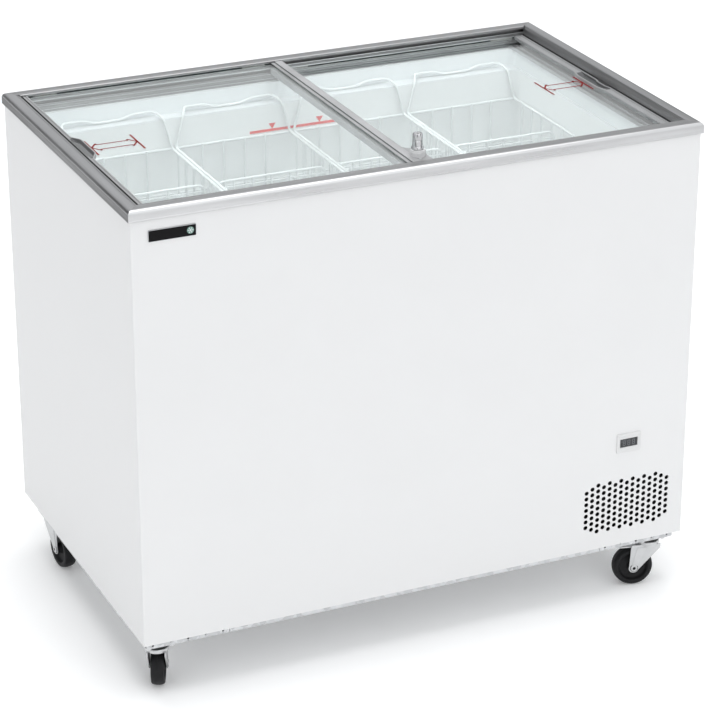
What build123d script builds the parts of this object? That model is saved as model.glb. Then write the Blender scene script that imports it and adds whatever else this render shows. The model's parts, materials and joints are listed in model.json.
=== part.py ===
from build123d import *
from math import cos, radians, sin
import os

# Chest freezer with two flat sliding glass lids, wire baskets and swivel casters.
# Millimetres, +Z up, +X to the customer's right, +Y to the back.
# The origin is on the floor, under the middle of the cabinet.

os.makedirs("parts", exist_ok=True)

# ---------------------------------------------------------------- driving dimensions
width = 1051.0            # over the rails, left to right
depth = 650.0             # over the rails, front to back
rim_height = 895.0        # floor to the top of the rails
overhang = 3.5            # how far the rails stand proud of the casing
sheet = 1.0               # painted steel sheet
casing_bottom = 107.0

rail_width = 27.0         # rails, seen from above
rail_bottom = 875.0       # lower edge of the rails' outer skirt
rail_foot = 854.0         # lower edge of the rails' inner wall
rail_round = 8.0          # outer top edge
upper_slot = (884.0, 890.0)
lower_slot = (870.0, 876.0)
slot_depth = 12.0

glass_thickness = 4.0
left_glass_z = 885.0      # underside of the upper pane
right_glass_z = 871.0     # underside of the lower pane
pane_reach = 307.0        # half the panes' front to back size
lid_gap = 0.3             # trim to seal, with a lid closed

liner_half_x = 470.0      # inside faces of the inner liner
liner_half_y = 264.0
liner_sheet = 1.2
liner_floor = 172.0
ledge_z = 822.0           # shelf that carries the baskets
ledge_back_y = 290.0
surround_half_x = 474.0
hump_x = 222.0            # the raised floor over the machine bay
hump_top = 402.0
bay_x = 268.0             # left wall of the machine bay
bay_top = 341.0
coil_gap = 9.0            # space round the liner for the evaporator tube

basket_pitch = 231.0
basket_count = 4
basket_row_middle = 3.0
basket_half_x = 112.0     # rim wire centres
basket_half_y = 257.5
basket_rim_z = 765.0
basket_floor_z = 500.0
rim_wire = 2.5            # wire radii
grid_wire = 1.5

wheel_radius = 37.5
wheel_width = 24.0
caster_height = 100.0
caster_offset = 27.0
plate_thickness = 2.5
plate_size = (56.0, 50.0)
plate_bolts = (42.0, 36.0)
bracket_size = (150.0, 84.0)

# Middle of each swivel, the way its wheel trails, and the middle of its bracket
casters = {
    "front_left": (-489.0, -292.0, 66.0, (-441.0, -276.0)),
    "front_right": (470.0, -292.0, 165.0, (431.0, -276.0)),
    "rear_left": (-490.0, 235.0, -85.0, (-441.0, 235.0)),
    "rear_right": (470.0, 235.0, 100.0, (431.0, 235.0)),
}
braked = ("front_left", "front_right")

# ---------------------------------------------------------------- worked out from those
casing_x = width / 2 - overhang
casing_y = depth / 2 - overhang
inside_x = casing_x - sheet
inside_y = casing_y - sheet
rail_inner_x = width / 2 - rail_width
rail_inner_y = depth / 2 - rail_width
pan_thickness = 1.2
pan_top = casing_bottom + pan_thickness
wheel_z = wheel_radius
up = (0, 0, 1)


# ---------------------------------------------------------------- bent wire and tube
def wire(points, radius, bend):
    """Solid round wire along the points, with bent corners."""
    with BuildPart() as run:
        with BuildLine() as path:
            FilletPolyline(*points, radius=bend)
        with BuildSketch(Plane(origin=path.line @ 0, z_dir=path.line % 0)):
            Circle(radius)
        sweep(path=path.line)
    return run.part


def wire_ring(half_x, half_y, height, radius, bend):
    """Level ring of round wire or tube, made of two halves that meet at the front and the back."""
    with BuildPart() as ring:
        for side in (-1, 1):
            add(wire([(0, half_y, height), (side * half_x, half_y, height), (side * half_x, -half_y, height),
                      (0, -half_y, height)], radius, bend))
    return ring.part


# ---------------------------------------------------------------- outer cabinet
vent_columns = (7, 8, 9, 8, 9, 8, 9, 8, 9, 8, 9, 8, 9, 8, 7)
vent_pitch_x = 11.7
vent_pitch_z = 11.5
vent_hole = 3.5
vent_middle = (405.0, 188.5)
display_middle = (404.5, 309.5)
display_size = (49.0, 37.0)
display_cutout = (42.0, 30.0)
casing_top = 884.0

# Front and both sides are one sheet, bent round the two front corners.
with BuildPart() as outer_casing:
    with BuildSketch(Plane.XY.offset(casing_bottom)):
        with Locations((0, -sheet / 2)):
            Rectangle(2 * casing_x, 2 * casing_y - sheet)
        with Locations((0, sheet / 2)):
            Rectangle(2 * inside_x, 2 * casing_y - sheet, mode=Mode.SUBTRACT)
    extrude(amount=casing_top - casing_bottom)
    fillet(outer_casing.edges().filter_by(Axis.Z).group_by(Axis.Y)[0], radius=1.6)
    vent_holes = [
        (vent_middle[0] + (column - 7) * vent_pitch_x,
         vent_middle[1] + (row - (count - 1) / 2) * vent_pitch_z)
        for column, count in enumerate(vent_columns)
        for row in range(count)
    ]
    with BuildSketch(Plane.XZ.offset(casing_y + 1)):
        with Locations(*vent_holes):
            Circle(vent_hole)
        with Locations(display_middle):
            Rectangle(*display_cutout)
    extrude(amount=-sheet - 2, mode=Mode.SUBTRACT)
outer_casing.part.label = "outer_casing"
export_step(outer_casing.part, "parts/outer_casing.step")

grille_middle = (370.0, 230.0)
grille_opening = (240.0, 200.0)
grille_cover = (264.0, 224.0)
panel_screws = [(x, z) for x in (-490, -245, 0, 245, 490) for z in (113, 860)] + [(-490, 490), (490, 490)]
inlet_spot = (215.0, 150.0)
inlet_flange = (40.0, 30.0)
inlet_flange_thickness = 2.5
inlet_body = (28.0, 20.0)
inlet_socket = (24.0, 16.0)
inlet_depth = 17.0        # of the body, behind the rear panel's face
inlet_floor = 2.0
inlet_play = 0.4          # hole to body, across

with BuildPart() as rear_panel:
    with BuildSketch(Plane.XZ.offset(-casing_y)):
        with Locations((0, (casing_bottom + casing_top) / 2)):
            Rectangle(2 * casing_x, casing_top - casing_bottom)
        with Locations(grille_middle):
            Rectangle(*grille_opening, mode=Mode.SUBTRACT)
        with Locations(inlet_spot):
            Rectangle(inlet_body[0] + inlet_play, inlet_body[1] + inlet_play, mode=Mode.SUBTRACT)
    extrude(amount=sheet)
rear_panel.part.label = "rear_panel"
export_step(rear_panel.part, "parts/rear_panel.step")

lip_height = 5.0
lip_inset = 7.0

# Galvanised pan under the whole cabinet, with stiffening lips between the caster brackets
with BuildPart() as base_pan:
    with BuildSketch(Plane.XY.offset(casing_bottom)):
        Rectangle(2 * inside_x - 0.4, 2 * inside_y - 0.4)
        with Locations((395, 90)):
            with GridLocations(22, 56, 9, 3):
                SlotOverall(44, 8, rotation=90, mode=Mode.SUBTRACT)
    extrude(amount=pan_thickness)
    with BuildSketch(Plane.XY.offset(casing_bottom - lip_height)):
        with Locations((-5, -casing_y + lip_inset), (-5, casing_y - lip_inset)):
            Rectangle(716, 1.5)
        with Locations((-casing_x + lip_inset, -20), (casing_x - lip_inset, -20)):
            Rectangle(1.5, 400)
    extrude(amount=lip_height)
base_pan.part.label = "base_pan"
export_step(base_pan.part, "parts/base_pan.step")

bracket_sheet = 2.0
bracket_notch = 32.0

# Open channels welded under the pan; each carries one caster on its web.
with BuildPart() as caster_brackets:
    for swivel_x, swivel_y, heading, middle in casters.values():
        with BuildSketch(Plane.XY.offset(caster_height)):
            with Locations(middle):
                Rectangle(*bracket_size)
        extrude(amount=casing_bottom - caster_height)
        with BuildSketch(Plane.XY.offset(caster_height + bracket_sheet)):
            with Locations(middle):
                Rectangle(bracket_size[0], bracket_size[1] - 2 * bracket_sheet)
        extrude(amount=casing_bottom - caster_height, mode=Mode.SUBTRACT)
        with BuildSketch(Plane.XY.offset(caster_height)):
            with Locations((swivel_x, swivel_y)):
                with GridLocations(*plate_bolts, 2, 2):
                    Circle(3.25)
        extrude(amount=bracket_sheet, mode=Mode.SUBTRACT)
        with BuildSketch(Plane.XY.offset(caster_height + bracket_sheet)):
            with Locations(middle):
                with GridLocations(bracket_notch, 2 * bracket_size[1], 4, 2):
                    Rectangle(3.0, bracket_size[1] + 8 * bracket_sheet)
        extrude(amount=casing_bottom - caster_height, mode=Mode.SUBTRACT)
caster_brackets.part.label = "caster_brackets"
export_step(caster_brackets.part, "parts/caster_brackets.step")

pipe_chase = (475.7, 200.0)
drain_spot = (-430.0, -200.0)

with BuildPart() as machine_bay_liner:
    with BuildSketch(Plane.XZ.offset(-inside_y + 0.5)):
        with BuildLine():
            Polyline(
                (bay_x, pan_top), (bay_x, bay_top), (inside_x - 0.3, bay_top), (inside_x - 0.3, bay_top - sheet),
                (bay_x + sheet, bay_top - sheet), (bay_x + sheet, pan_top), close=True)
        make_face()
    extrude(amount=2 * inside_y - 1)
    with Locations((*pipe_chase, bay_top)):
        Cylinder(7, 4, mode=Mode.SUBTRACT)
machine_bay_liner.part.label = "machine_bay_liner"
export_step(machine_bay_liner.part, "parts/machine_bay_liner.step")


# ---------------------------------------------------------------- liner, surround and foam
liner_top = ledge_z - 2.5
liner_round = 15.0
drain_radius = 9.0

with BuildPart() as inner_liner:
    with BuildSketch(Plane.XY.offset(liner_floor - liner_sheet)):
        RectangleRounded(2 * (liner_half_x + liner_sheet), 2 * (liner_half_y + liner_sheet),
                         liner_round + liner_sheet)
    extrude(amount=liner_top - liner_floor + liner_sheet)
    with BuildSketch(Plane.XY.offset(hump_top)):
        RectangleRounded(2 * liner_half_x, 2 * liner_half_y, liner_round)
    extrude(amount=liner_top - hump_top, mode=Mode.SUBTRACT)
    with BuildSketch(Plane.XY.offset(liner_floor)):
        RectangleRounded(2 * liner_half_x, 2 * liner_half_y, liner_round)
        with Locations((hump_x, 0)):
            Rectangle(liner_half_x, 2 * depth, align=(Align.MIN, Align.CENTER), mode=Mode.SUBTRACT)
    extrude(amount=hump_top - liner_floor, mode=Mode.SUBTRACT)
    with BuildSketch(Plane.XY.offset(liner_floor - liner_sheet)):
        with Locations((hump_x + liner_sheet, 0)):
            Rectangle(liner_half_x, 2 * depth, align=(Align.MIN, Align.CENTER))
    extrude(amount=hump_top - liner_floor, mode=Mode.SUBTRACT)
    with Locations((*drain_spot, liner_floor)):
        Cylinder(drain_radius, 4 * liner_sheet, mode=Mode.SUBTRACT)
inner_liner.part.label = "inner_liner"
export_step(inner_liner.part, "parts/inner_liner.step")

surround_wall = 2.5
surround_round = 16.0
rail_pocket = 6.0         # from the rails' outer face to their inner box

# Moulded frame between liner and rails, with the ledge that the baskets hang on
with BuildPart() as liner_surround:
    with BuildSketch(Plane.XY.offset(ledge_z - surround_wall)):
        RectangleRounded(2 * (surround_half_x + surround_wall), 2 * (ledge_back_y + surround_wall),
                         surround_round + surround_wall)
    extrude(amount=rail_foot - ledge_z + surround_wall)
    with BuildSketch(Plane.XY.offset(rail_foot - surround_wall)):
        Rectangle(width - 2 * rail_pocket, depth - 2 * rail_pocket)
    extrude(amount=surround_wall)
    with BuildSketch(Plane.XY.offset(ledge_z)):
        RectangleRounded(2 * surround_half_x, 2 * ledge_back_y, surround_round)
    extrude(amount=rail_foot - ledge_z, mode=Mode.SUBTRACT)
    with BuildSketch(Plane.XY.offset(ledge_z - surround_wall)):
        RectangleRounded(2 * liner_half_x, 2 * liner_half_y, liner_round)
    extrude(amount=surround_wall, mode=Mode.SUBTRACT)
liner_surround.part.label = "liner_surround"
export_step(liner_surround.part, "parts/liner_surround.step")

jacket_x = liner_half_x + liner_sheet + coil_gap
jacket_y = liner_half_y + liner_sheet + coil_gap
foam_top = rail_foot - surround_wall

# Foamed-in block: it fills the space from the casing to the tube jacket round the liner.
with BuildPart() as foam_insulation:
    with BuildSketch(Plane.XY.offset(pan_top)):
        Rectangle(2 * inside_x, 2 * inside_y)
    extrude(amount=foam_top - pan_top)
    with BuildSketch(Plane.XY.offset(ledge_z - surround_wall)):
        Rectangle(2 * (surround_half_x + surround_wall), 2 * (ledge_back_y + surround_wall))
    extrude(amount=foam_top, mode=Mode.SUBTRACT)
    with BuildSketch(Plane.XY.offset(hump_top - liner_sheet - coil_gap)):
        Rectangle(2 * jacket_x, 2 * jacket_y)
    extrude(amount=foam_top - hump_top, mode=Mode.SUBTRACT)
    with BuildSketch(Plane.XY.offset(liner_floor - liner_sheet)):
        with Locations((-jacket_x, 0)):
            Rectangle(jacket_x + hump_x + liner_sheet + coil_gap, 2 * jacket_y, align=(Align.MIN, Align.CENTER))
    extrude(amount=hump_top - liner_floor, mode=Mode.SUBTRACT)
    with BuildSketch(Plane.XY.offset(pan_top)):
        with Locations((bay_x, 0)):
            Rectangle(width, depth, align=(Align.MIN, Align.CENTER))
    extrude(amount=bay_top - pan_top, mode=Mode.SUBTRACT)
    with Locations((*pipe_chase, bay_top)):
        Cylinder(7, 140, mode=Mode.SUBTRACT)
    with Locations((*drain_spot, liner_floor)):
        Cylinder(drain_radius, 2 * (liner_floor - casing_bottom), mode=Mode.SUBTRACT)
    with BuildSketch(Plane.XZ.offset(-inside_y)):
        with Locations(inlet_spot):
            Rectangle(inlet_body[0] + inlet_play, inlet_body[1] + inlet_play)
    extrude(amount=inlet_depth, mode=Mode.SUBTRACT)
foam_insulation.part.label = "foam_insulation"
export_step(foam_insulation.part, "parts/foam_insulation.step")

with BuildPart() as drain_plug:
    with BuildSketch(Plane.XY.offset(liner_floor)):
        with Locations(drain_spot):
            Circle(14)
    extrude(amount=3)
    fillet(drain_plug.edges().group_by(Axis.Z)[-1], radius=1.2)
    with BuildSketch(Plane.XY.offset(liner_floor)):
        with Locations(drain_spot):
            Circle(drain_radius - 0.3)
    extrude(amount=-24)
drain_plug.part.label = "drain_plug"
export_step(drain_plug.part, "parts/drain_plug.step")

coil_radius = 4.0
coil_rows = 8
coil_pitch = 48.0
coil_bottom = 440.0
coil_x = liner_half_x + liner_sheet + coil_gap / 2
coil_y = liner_half_y + liner_sheet + coil_gap / 2

# Turns of tube round the liner, joined by risers at the back
with BuildPart() as evaporator_coil:
    for row in range(coil_rows):
        row_z = coil_bottom + row * coil_pitch
        add(wire_ring(coil_x, coil_y, row_z, coil_radius, liner_round + liner_sheet + coil_gap / 2))
        if row < coil_rows - 1:
            side = 60 if row % 2 else -60
            with Locations((side, coil_y, row_z + coil_pitch / 2)):
                Cylinder(coil_radius - 0.4, coil_pitch)
evaporator_coil.part.label = "evaporator_coil"
export_step(evaporator_coil.part, "parts/evaporator_coil.step")

with BuildPart() as temperature_probe:
    with Locations((coil_x, 40, coil_bottom + 3.5 * coil_pitch)):
        Cylinder(3, 34)
    fillet(temperature_probe.edges().group_by(Axis.Z)[-1], radius=1.5)
temperature_probe.part.label = "temperature_probe"
export_step(temperature_probe.part, "parts/temperature_probe.step")


# ---------------------------------------------------------------- aluminium rails
key_chamber = (7.5, 13.5, 857.0, 883.0)   # inset from, inset to, bottom, top
skirt = 2.0
foot_reach = 58.0         # the side rails carry a flat foot, in over the surround
foot_thickness = 4.0


def rail_outline(slots):
    """Section of a rail as (inset from the outer face, height), with a slot at each given level."""
    inner_wall = []
    for bottom, top in slots:
        inner_wall += [(rail_width, top), (rail_width - slot_depth, top),
                       (rail_width - slot_depth, bottom), (rail_width, bottom)]
    arc_end = rail_round * (1 - cos(radians(45)))
    with BuildLine() as outline:
        Line((0, rail_bottom), (0, rim_height - rail_round))
        ThreePointArc((0, rim_height - rail_round), (arc_end, rim_height - arc_end), (rail_round, rim_height))
        Polyline(
            (rail_round, rim_height), (rail_width, rim_height), *inner_wall, (rail_width, rail_foot),
            (rail_pocket, rail_foot), (rail_pocket, casing_top + 2), (skirt, casing_top + 2),
            (skirt, rail_bottom), (0, rail_bottom))
    return outline


def mitred_rail(start, inward, along, length, slots):
    """One rail from corner to corner, cut at 45 degrees at both ends."""
    end = Vector(start) + Vector(along) * length
    left, right, bottom, top = key_chamber
    outline = rail_outline(slots)
    with BuildPart() as rail:
        with BuildSketch(Plane(start, x_dir=inward, z_dir=along)):
            add(outline.line)
            make_face()
            with Locations(((left + right) / 2, (bottom + top) / 2)):
                Rectangle(right - left, top - bottom, mode=Mode.SUBTRACT)
        extrude(amount=length)
        split(bisect_by=Plane(start, z_dir=Vector(along) - Vector(inward)), keep=Keep.TOP)
        split(bisect_by=Plane(end, z_dir=-Vector(along) - Vector(inward)), keep=Keep.TOP)
    return rail.part


both_slots = (upper_slot, lower_slot)
front_rail = mitred_rail((-width / 2, -depth / 2, 0), (0, 1, 0), (1, 0, 0), width, both_slots)
front_rail.label = "front_rail"
export_step(front_rail, "parts/front_rail.step")

rear_rail = mitred_rail((width / 2, depth / 2, 0), (0, -1, 0), (-1, 0, 0), width, both_slots)
rear_rail.label = "rear_rail"
export_step(rear_rail, "parts/rear_rail.step")

for side, name in ((-1, "left_rail"), (1, "right_rail")):
    plain = mitred_rail((side * width / 2, side * -depth / 2, 0), (-side, 0, 0), (0, side, 0), depth, ())
    foot_middle = side * (width / 2 - (rail_width + foot_reach) / 2)
    with BuildPart() as side_rail:
        add(plain)
        with BuildSketch(Plane.XY.offset(rail_foot)):
            with Locations((foot_middle, 0)):
                Rectangle(foot_reach - rail_width, 2 * rail_inner_y)
        extrude(amount=foot_thickness)
        with BuildSketch(Plane.XY.offset(rail_foot)):
            with Locations((side * (width / 2 - foot_reach + 1), 0), (side * (width / 2 - 44), 0)):
                Rectangle(2, 2 * rail_inner_y)
        extrude(amount=foot_thickness + 3)
    side_rail.part.label = name
    export_step(side_rail.part, f"parts/{name}.step")

key_play = 0.2
key_leg = 60.0

with BuildPart() as corner_keys:
    left, right, bottom, top = key_chamber
    outer = left + key_play
    key_width = right - left - 2 * key_play
    with BuildSketch(Plane.XY.offset(bottom + key_play)):
        for side_x in (-1, 1):
            for side_y in (-1, 1):
                corner_x = side_x * (width / 2 - outer)
                corner_y = side_y * (depth / 2 - outer)
                with Locations((corner_x - side_x * key_leg / 2, corner_y - side_y * key_width / 2)):
                    Rectangle(key_leg, key_width)
                with Locations((corner_x - side_x * key_width / 2, corner_y - side_y * key_leg / 2)):
                    Rectangle(key_width, key_leg)
    extrude(amount=top - bottom - 2 * key_play)
corner_keys.part.label = "corner_keys"
export_step(corner_keys.part, "parts/corner_keys.step")

seal_width = 2.0
left_trim_z = (882.0, 892.0)
right_trim_z = (868.0, 878.5)

# Black strips on the side rails, where each lid's end closes
with BuildPart() as end_seals:
    for side, (bottom, top) in ((-1, left_trim_z), (1, right_trim_z)):
        with BuildSketch(Plane.XY.offset(bottom + 1)):
            with Locations((side * (rail_inner_x - seal_width / 2), 0)):
                Rectangle(seal_width, 2 * rail_inner_y - 1)
        extrude(amount=top - bottom - 2)
end_seals.part.label = "end_seals"
export_step(end_seals.part, "parts/end_seals.step")


# ---------------------------------------------------------------- sliding lids
trim_width = 17.0
trim_end_x = rail_inner_x - seal_width - lid_gap
trim_half_y = rail_inner_y - 1.0
pane_edge_x = trim_end_x - 3.0
bar_left = -20.0
bar_groove = -14.0
bar_right = 1.0
bar_z = (880.5, 893.0)
right_bar_x = (-22.0, -8.0)
right_bar_z = (867.5, 879.5)
pull_half = 62.0
pull_reach = 8.0


def pane(x_from, x_to, bottom):
    """A flat pane of toughened glass with ground edges."""
    with BuildPart() as glass:
        with BuildSketch(Plane.XY.offset(bottom)):
            with Locations(((x_from + x_to) / 2, 0)):
                RectangleRounded(x_to - x_from, 2 * pane_reach, 3)
        extrude(amount=glass_thickness)
        chamfer(glass.faces().filter_by(Axis.Z).edges(), length=0.5)
    return glass.part


def end_trim(side, heights, glass_z, pull_rise):
    """Grey profile along a lid's outer end, with a rounded finger pull at its middle."""
    bottom, top = heights
    inner_x = trim_end_x - trim_width
    with BuildPart() as trim:
        with BuildSketch(Plane.XY.offset(bottom)):
            with Locations((side * (inner_x + trim_end_x) / 2, 0)):
                Rectangle(trim_width, 2 * trim_half_y)
            with Locations((side * (inner_x - pull_reach / 2 + 2), 0)):
                RectangleRounded(pull_reach + 4, 2 * pull_half, 5.9)
        extrude(amount=top - bottom)
        with BuildSketch(Plane.XY.offset(top)):
            with Locations((side * (inner_x + 1), 0)):
                RectangleRounded(2 * pull_reach, 2 * pull_half - 6, 7)
        extrude(amount=pull_rise, taper=20)
        with BuildSketch(Plane.XY.offset(glass_z)):
            with Locations((side * (pane_edge_x / 2), 0)):
                Rectangle(pane_edge_x, 2 * pane_reach)
        extrude(amount=glass_thickness, mode=Mode.SUBTRACT)
        with BuildSketch(Plane.XY.offset(top - 3.5)):
            with Locations((side * (inner_x + trim_width - 5.5), 0)):
                SlotOverall(2 * pull_half - 20, 7, rotation=90)
        extrude(amount=8, mode=Mode.SUBTRACT)
    return trim.part


def glides(x_from, x_to, glass_z, slot):
    """Four nylon shoes: each clips on a pane's edge and runs in the rail's slot."""
    play = 0.2
    shoe_reach = rail_inner_y + slot_depth - 0.5
    with BuildPart() as shoes:
        with BuildSketch(Plane.XY.offset(slot[0] + play)):
            for middle_x in (x_from + 40, x_to - 40):
                for side in (-1, 1):
                    with Locations((middle_x, side * (shoe_reach + rail_inner_y + 1) / 2)):
                        Rectangle(44, shoe_reach - rail_inner_y - 1)
        extrude(amount=slot[1] - slot[0] - 2 * play)
        with BuildSketch(Plane.XY.offset(glass_z)):
            Rectangle(2 * width, 2 * pane_reach)
        extrude(amount=glass_thickness, mode=Mode.SUBTRACT)
    return shoes.part


left_lid_glass = pane(-pane_edge_x, bar_groove - 2, left_glass_z)
left_lid_glass.label = "left_lid_glass"
export_step(left_lid_glass, "parts/left_lid_glass.step")

right_lid_glass = pane(right_bar_x[0] + 3, pane_edge_x, right_glass_z)
right_lid_glass.label = "right_lid_glass"
export_step(right_lid_glass, "parts/right_lid_glass.step")

left_lid_end_trim = end_trim(-1, left_trim_z, left_glass_z, 1.5)
left_lid_end_trim.label = "left_lid_end_trim"
export_step(left_lid_end_trim, "parts/left_lid_end_trim.step")

right_lid_end_trim = end_trim(1, right_trim_z, right_glass_z, 1.0)
right_lid_end_trim.label = "right_lid_end_trim"
export_step(right_lid_end_trim, "parts/right_lid_end_trim.step")

left_lid_glides = glides(-pane_edge_x, bar_groove, left_glass_z, upper_slot)
left_lid_glides.label = "left_lid_glides"
export_step(left_lid_glides, "parts/left_lid_glides.step")

right_lid_glides = glides(right_bar_x[1], pane_edge_x, right_glass_z, lower_slot)
right_lid_glides.label = "right_lid_glides"
export_step(right_lid_glides, "parts/right_lid_glides.step")

lock_x = 7.5
lock_y = -267.0
plate_z = (888.5, 891.5)
boss_top = 904.0
barrel_top = 932.0
plug_radius = 5.0
plug_play = 0.05
boss_radius = 12.5

# Hollow bar along the left lid's inner edge; it laps over the right lid's bar.
with BuildPart() as centre_bar:
    with BuildSketch(Plane.XZ.offset(-trim_half_y)):
        with BuildLine():
            Polyline(
                (bar_left, bar_z[0]), (bar_left, bar_z[1] - 2), (bar_groove - 0.6, bar_z[1] - 2),
                (bar_groove - 0.6, bar_z[1] - 4), (bar_groove + 0.6, bar_z[1] - 4),
                (bar_groove + 0.6, bar_z[1]), (bar_right, bar_z[1]), (bar_right, bar_z[0]), close=True)
        make_face()
        with Locations(((bar_left + bar_groove - 2) / 2, left_glass_z + glass_thickness / 2)):
            Rectangle(bar_groove - 2 - bar_left, glass_thickness, mode=Mode.SUBTRACT)
        with Locations(((bar_groove + bar_right) / 2 + 0.5, (bar_z[0] + bar_z[1]) / 2)):
            Rectangle(10.5, 9.5, mode=Mode.SUBTRACT)
    extrude(amount=2 * trim_half_y)
    fillet(centre_bar.edges().filter_by(Axis.Y).group_by(Axis.Z)[-1], radius=0.6)
    with Locations((lock_x, lock_y, bar_z[0])):
        Cylinder(boss_radius, 4 * (bar_z[1] - bar_z[0]), mode=Mode.SUBTRACT)
centre_bar.part.label = "centre_bar"
export_step(centre_bar.part, "parts/centre_bar.step")

with BuildPart() as right_lid_bar:
    with BuildSketch(Plane.XZ.offset(-trim_half_y)):
        with Locations((sum(right_bar_x) / 2, sum(right_bar_z) / 2)):
            Rectangle(right_bar_x[1] - right_bar_x[0], right_bar_z[1] - right_bar_z[0])
        with Locations((right_bar_x[0] + 3, right_glass_z + glass_thickness / 2)):
            Rectangle(20, glass_thickness, align=(Align.MIN, Align.CENTER), mode=Mode.SUBTRACT)
    extrude(amount=2 * trim_half_y)
    chamfer(right_lid_bar.edges().filter_by(Axis.Y).group_by(Axis.Z)[-1], length=1)
right_lid_bar.part.label = "right_lid_bar"
export_step(right_lid_bar.part, "parts/right_lid_bar.step")


# ---------------------------------------------------------------- lid lock
# Angled plate on the bar's right side, at the front
with BuildPart() as lock_plate:
    with BuildSketch(Plane.XY.offset(plate_z[0])):
        with BuildLine():
            Polyline(
                (bar_right, -trim_half_y), (bar_right, -209), (lock_x + 5, -224), (lock_x + 18, -250),
                (lock_x + 18, -trim_half_y), close=True)
        make_face()
    extrude(amount=plate_z[1] - plate_z[0])
    with BuildSketch(Plane.XY.offset(plate_z[0])):
        with Locations((lock_x, lock_y)):
            Circle(boss_radius)
    extrude(amount=boss_top - plate_z[0])
    fillet(lock_plate.edges().group_by(Axis.Z)[-1], radius=1)
    with Locations((lock_x, lock_y, plate_z[0])):
        Cylinder(8, 2 * (boss_top - plate_z[0]), mode=Mode.SUBTRACT)
lock_plate.part.label = "lock_plate"
export_step(lock_plate.part, "parts/lock_plate.step")

# Chromed barrel, tapered and stepped, with a clear bore for the key plug
with BuildPart() as lock_barrel:
    with BuildSketch(Plane((lock_x, lock_y, 0), x_dir=(1, 0, 0), z_dir=(0, -1, 0))):
        with BuildLine():
            Polyline(
                (plug_radius + plug_play, 883), (7.9, 883), (7.9, boss_top), (10.6, boss_top), (10.6, boss_top + 5),
                (9.4, boss_top + 7), (8.6, barrel_top - 2), (7.6, barrel_top), (plug_radius + plug_play, barrel_top),
                close=True)
        make_face()
    revolve(axis=Axis((lock_x, lock_y, 0), up))
lock_barrel.part.label = "lock_barrel"
export_step(lock_barrel.part, "parts/lock_barrel.step")

# Key plug with its key slot, and the cam below the plate
with BuildPart() as lock_plug:
    with BuildSketch(Plane.XY.offset(882.4)):
        with Locations((lock_x, lock_y)):
            Circle(plug_radius)
    extrude(amount=barrel_top - 0.8 - 882.4)
    with BuildSketch(Plane.XY.offset(880.4)):
        with Locations((lock_x, lock_y)):
            Circle(6.5)
        with Locations((lock_x + 8, lock_y)):
            SlotOverall(26, 9)
    extrude(amount=2)
    with BuildSketch(Plane.XY.offset(barrel_top - 12)):
        with Locations((lock_x, lock_y)):
            Rectangle(1.8, 7.4)
    extrude(amount=20, mode=Mode.SUBTRACT)
lock_plug.part.label = "lock_plug"
export_step(lock_plug.part, "parts/lock_plug.step")


# ---------------------------------------------------------------- front fittings
badge_middle = (-451.0, 847.0)
badge_size = (82.0, 20.0)
window_size = (35.0, 16.0)

with BuildPart() as badge:
    with BuildSketch(Plane.XZ.offset(casing_y)):
        with Locations(badge_middle):
            RectangleRounded(*badge_size, 1)
    extrude(amount=1.4)
    chamfer(badge.edges().group_by(Axis.Y)[0], length=0.4)
badge.part.label = "badge"
export_step(badge.part, "parts/badge.step")

with BuildPart() as display_bezel:
    with BuildSketch(Plane.XZ.offset(casing_y)):
        with Locations(display_middle):
            RectangleRounded(*display_size, 3)
    extrude(amount=2.5)
    fillet(display_bezel.edges().group_by(Axis.Y)[0], radius=1.2)
    with BuildSketch(Plane.XZ.offset(casing_y)):
        with Locations(display_middle):
            Rectangle(display_cutout[0] - 0.4, display_cutout[1] - 0.4)
    extrude(amount=-8)
    with BuildSketch(Plane.XZ.offset(casing_y - 10)):
        with Locations(display_middle):
            Rectangle(*window_size)
    extrude(amount=16, mode=Mode.SUBTRACT)
display_bezel.part.label = "display_bezel"
export_step(display_bezel.part, "parts/display_bezel.step")

with BuildPart() as display_window:
    with BuildSketch(Plane.XZ.offset(casing_y)):
        with Locations(display_middle):
            Rectangle(*window_size)
    extrude(amount=1.2)
display_window.part.label = "display_window"
export_step(display_window.part, "parts/display_window.step")

with BuildPart() as controller_module:
    with BuildSketch(Plane.XZ.offset(casing_y - 8)):
        with Locations(display_middle):
            RectangleRounded(56, 36, 2)
    extrude(amount=-58)
    with BuildSketch(Plane.XZ.offset(casing_y - 66)):
        with Locations(display_middle):
            with GridLocations(9, 14, 4, 2):
                Rectangle(6, 8)
    extrude(amount=-4)
controller_module.part.label = "controller_module"
export_step(controller_module.part, "parts/controller_module.step")


# ---------------------------------------------------------------- machine bay
with BuildPart() as rear_grille:
    with BuildSketch(Plane.XZ.offset(-casing_y - sheet)):
        with Locations(grille_middle):
            RectangleRounded(*grille_cover, 4)
            with GridLocations(78, 14, 3, 13):
                SlotOverall(62, 6, mode=Mode.SUBTRACT)
    extrude(amount=sheet)
rear_grille.part.label = "rear_grille"
export_step(rear_grille.part, "parts/rear_grille.step")

# Recessed mains inlet: flange, body and socket with three pins
with BuildPart() as cord_inlet:
    with BuildSketch(Plane.XZ.offset(-casing_y)):
        with Locations(inlet_spot):
            RectangleRounded(*inlet_flange, 3)
    extrude(amount=-inlet_flange_thickness)
    with BuildSketch(Plane.XZ.offset(-casing_y)):
        with Locations(inlet_spot):
            Rectangle(*inlet_body)
    extrude(amount=inlet_depth)
    with BuildSketch(Plane.XZ.offset(-casing_y - inlet_flange_thickness)):
        with Locations(inlet_spot):
            RectangleRounded(*inlet_socket, 2)
    extrude(amount=inlet_flange_thickness + inlet_depth - inlet_floor, mode=Mode.SUBTRACT)
    with BuildSketch(Plane.XZ.offset(-casing_y + inlet_depth - inlet_floor)):
        with Locations(inlet_spot):
            with GridLocations(7, 1, 3, 1):
                Rectangle(2, 4)
    extrude(amount=-10)
cord_inlet.part.label = "cord_inlet"
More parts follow.
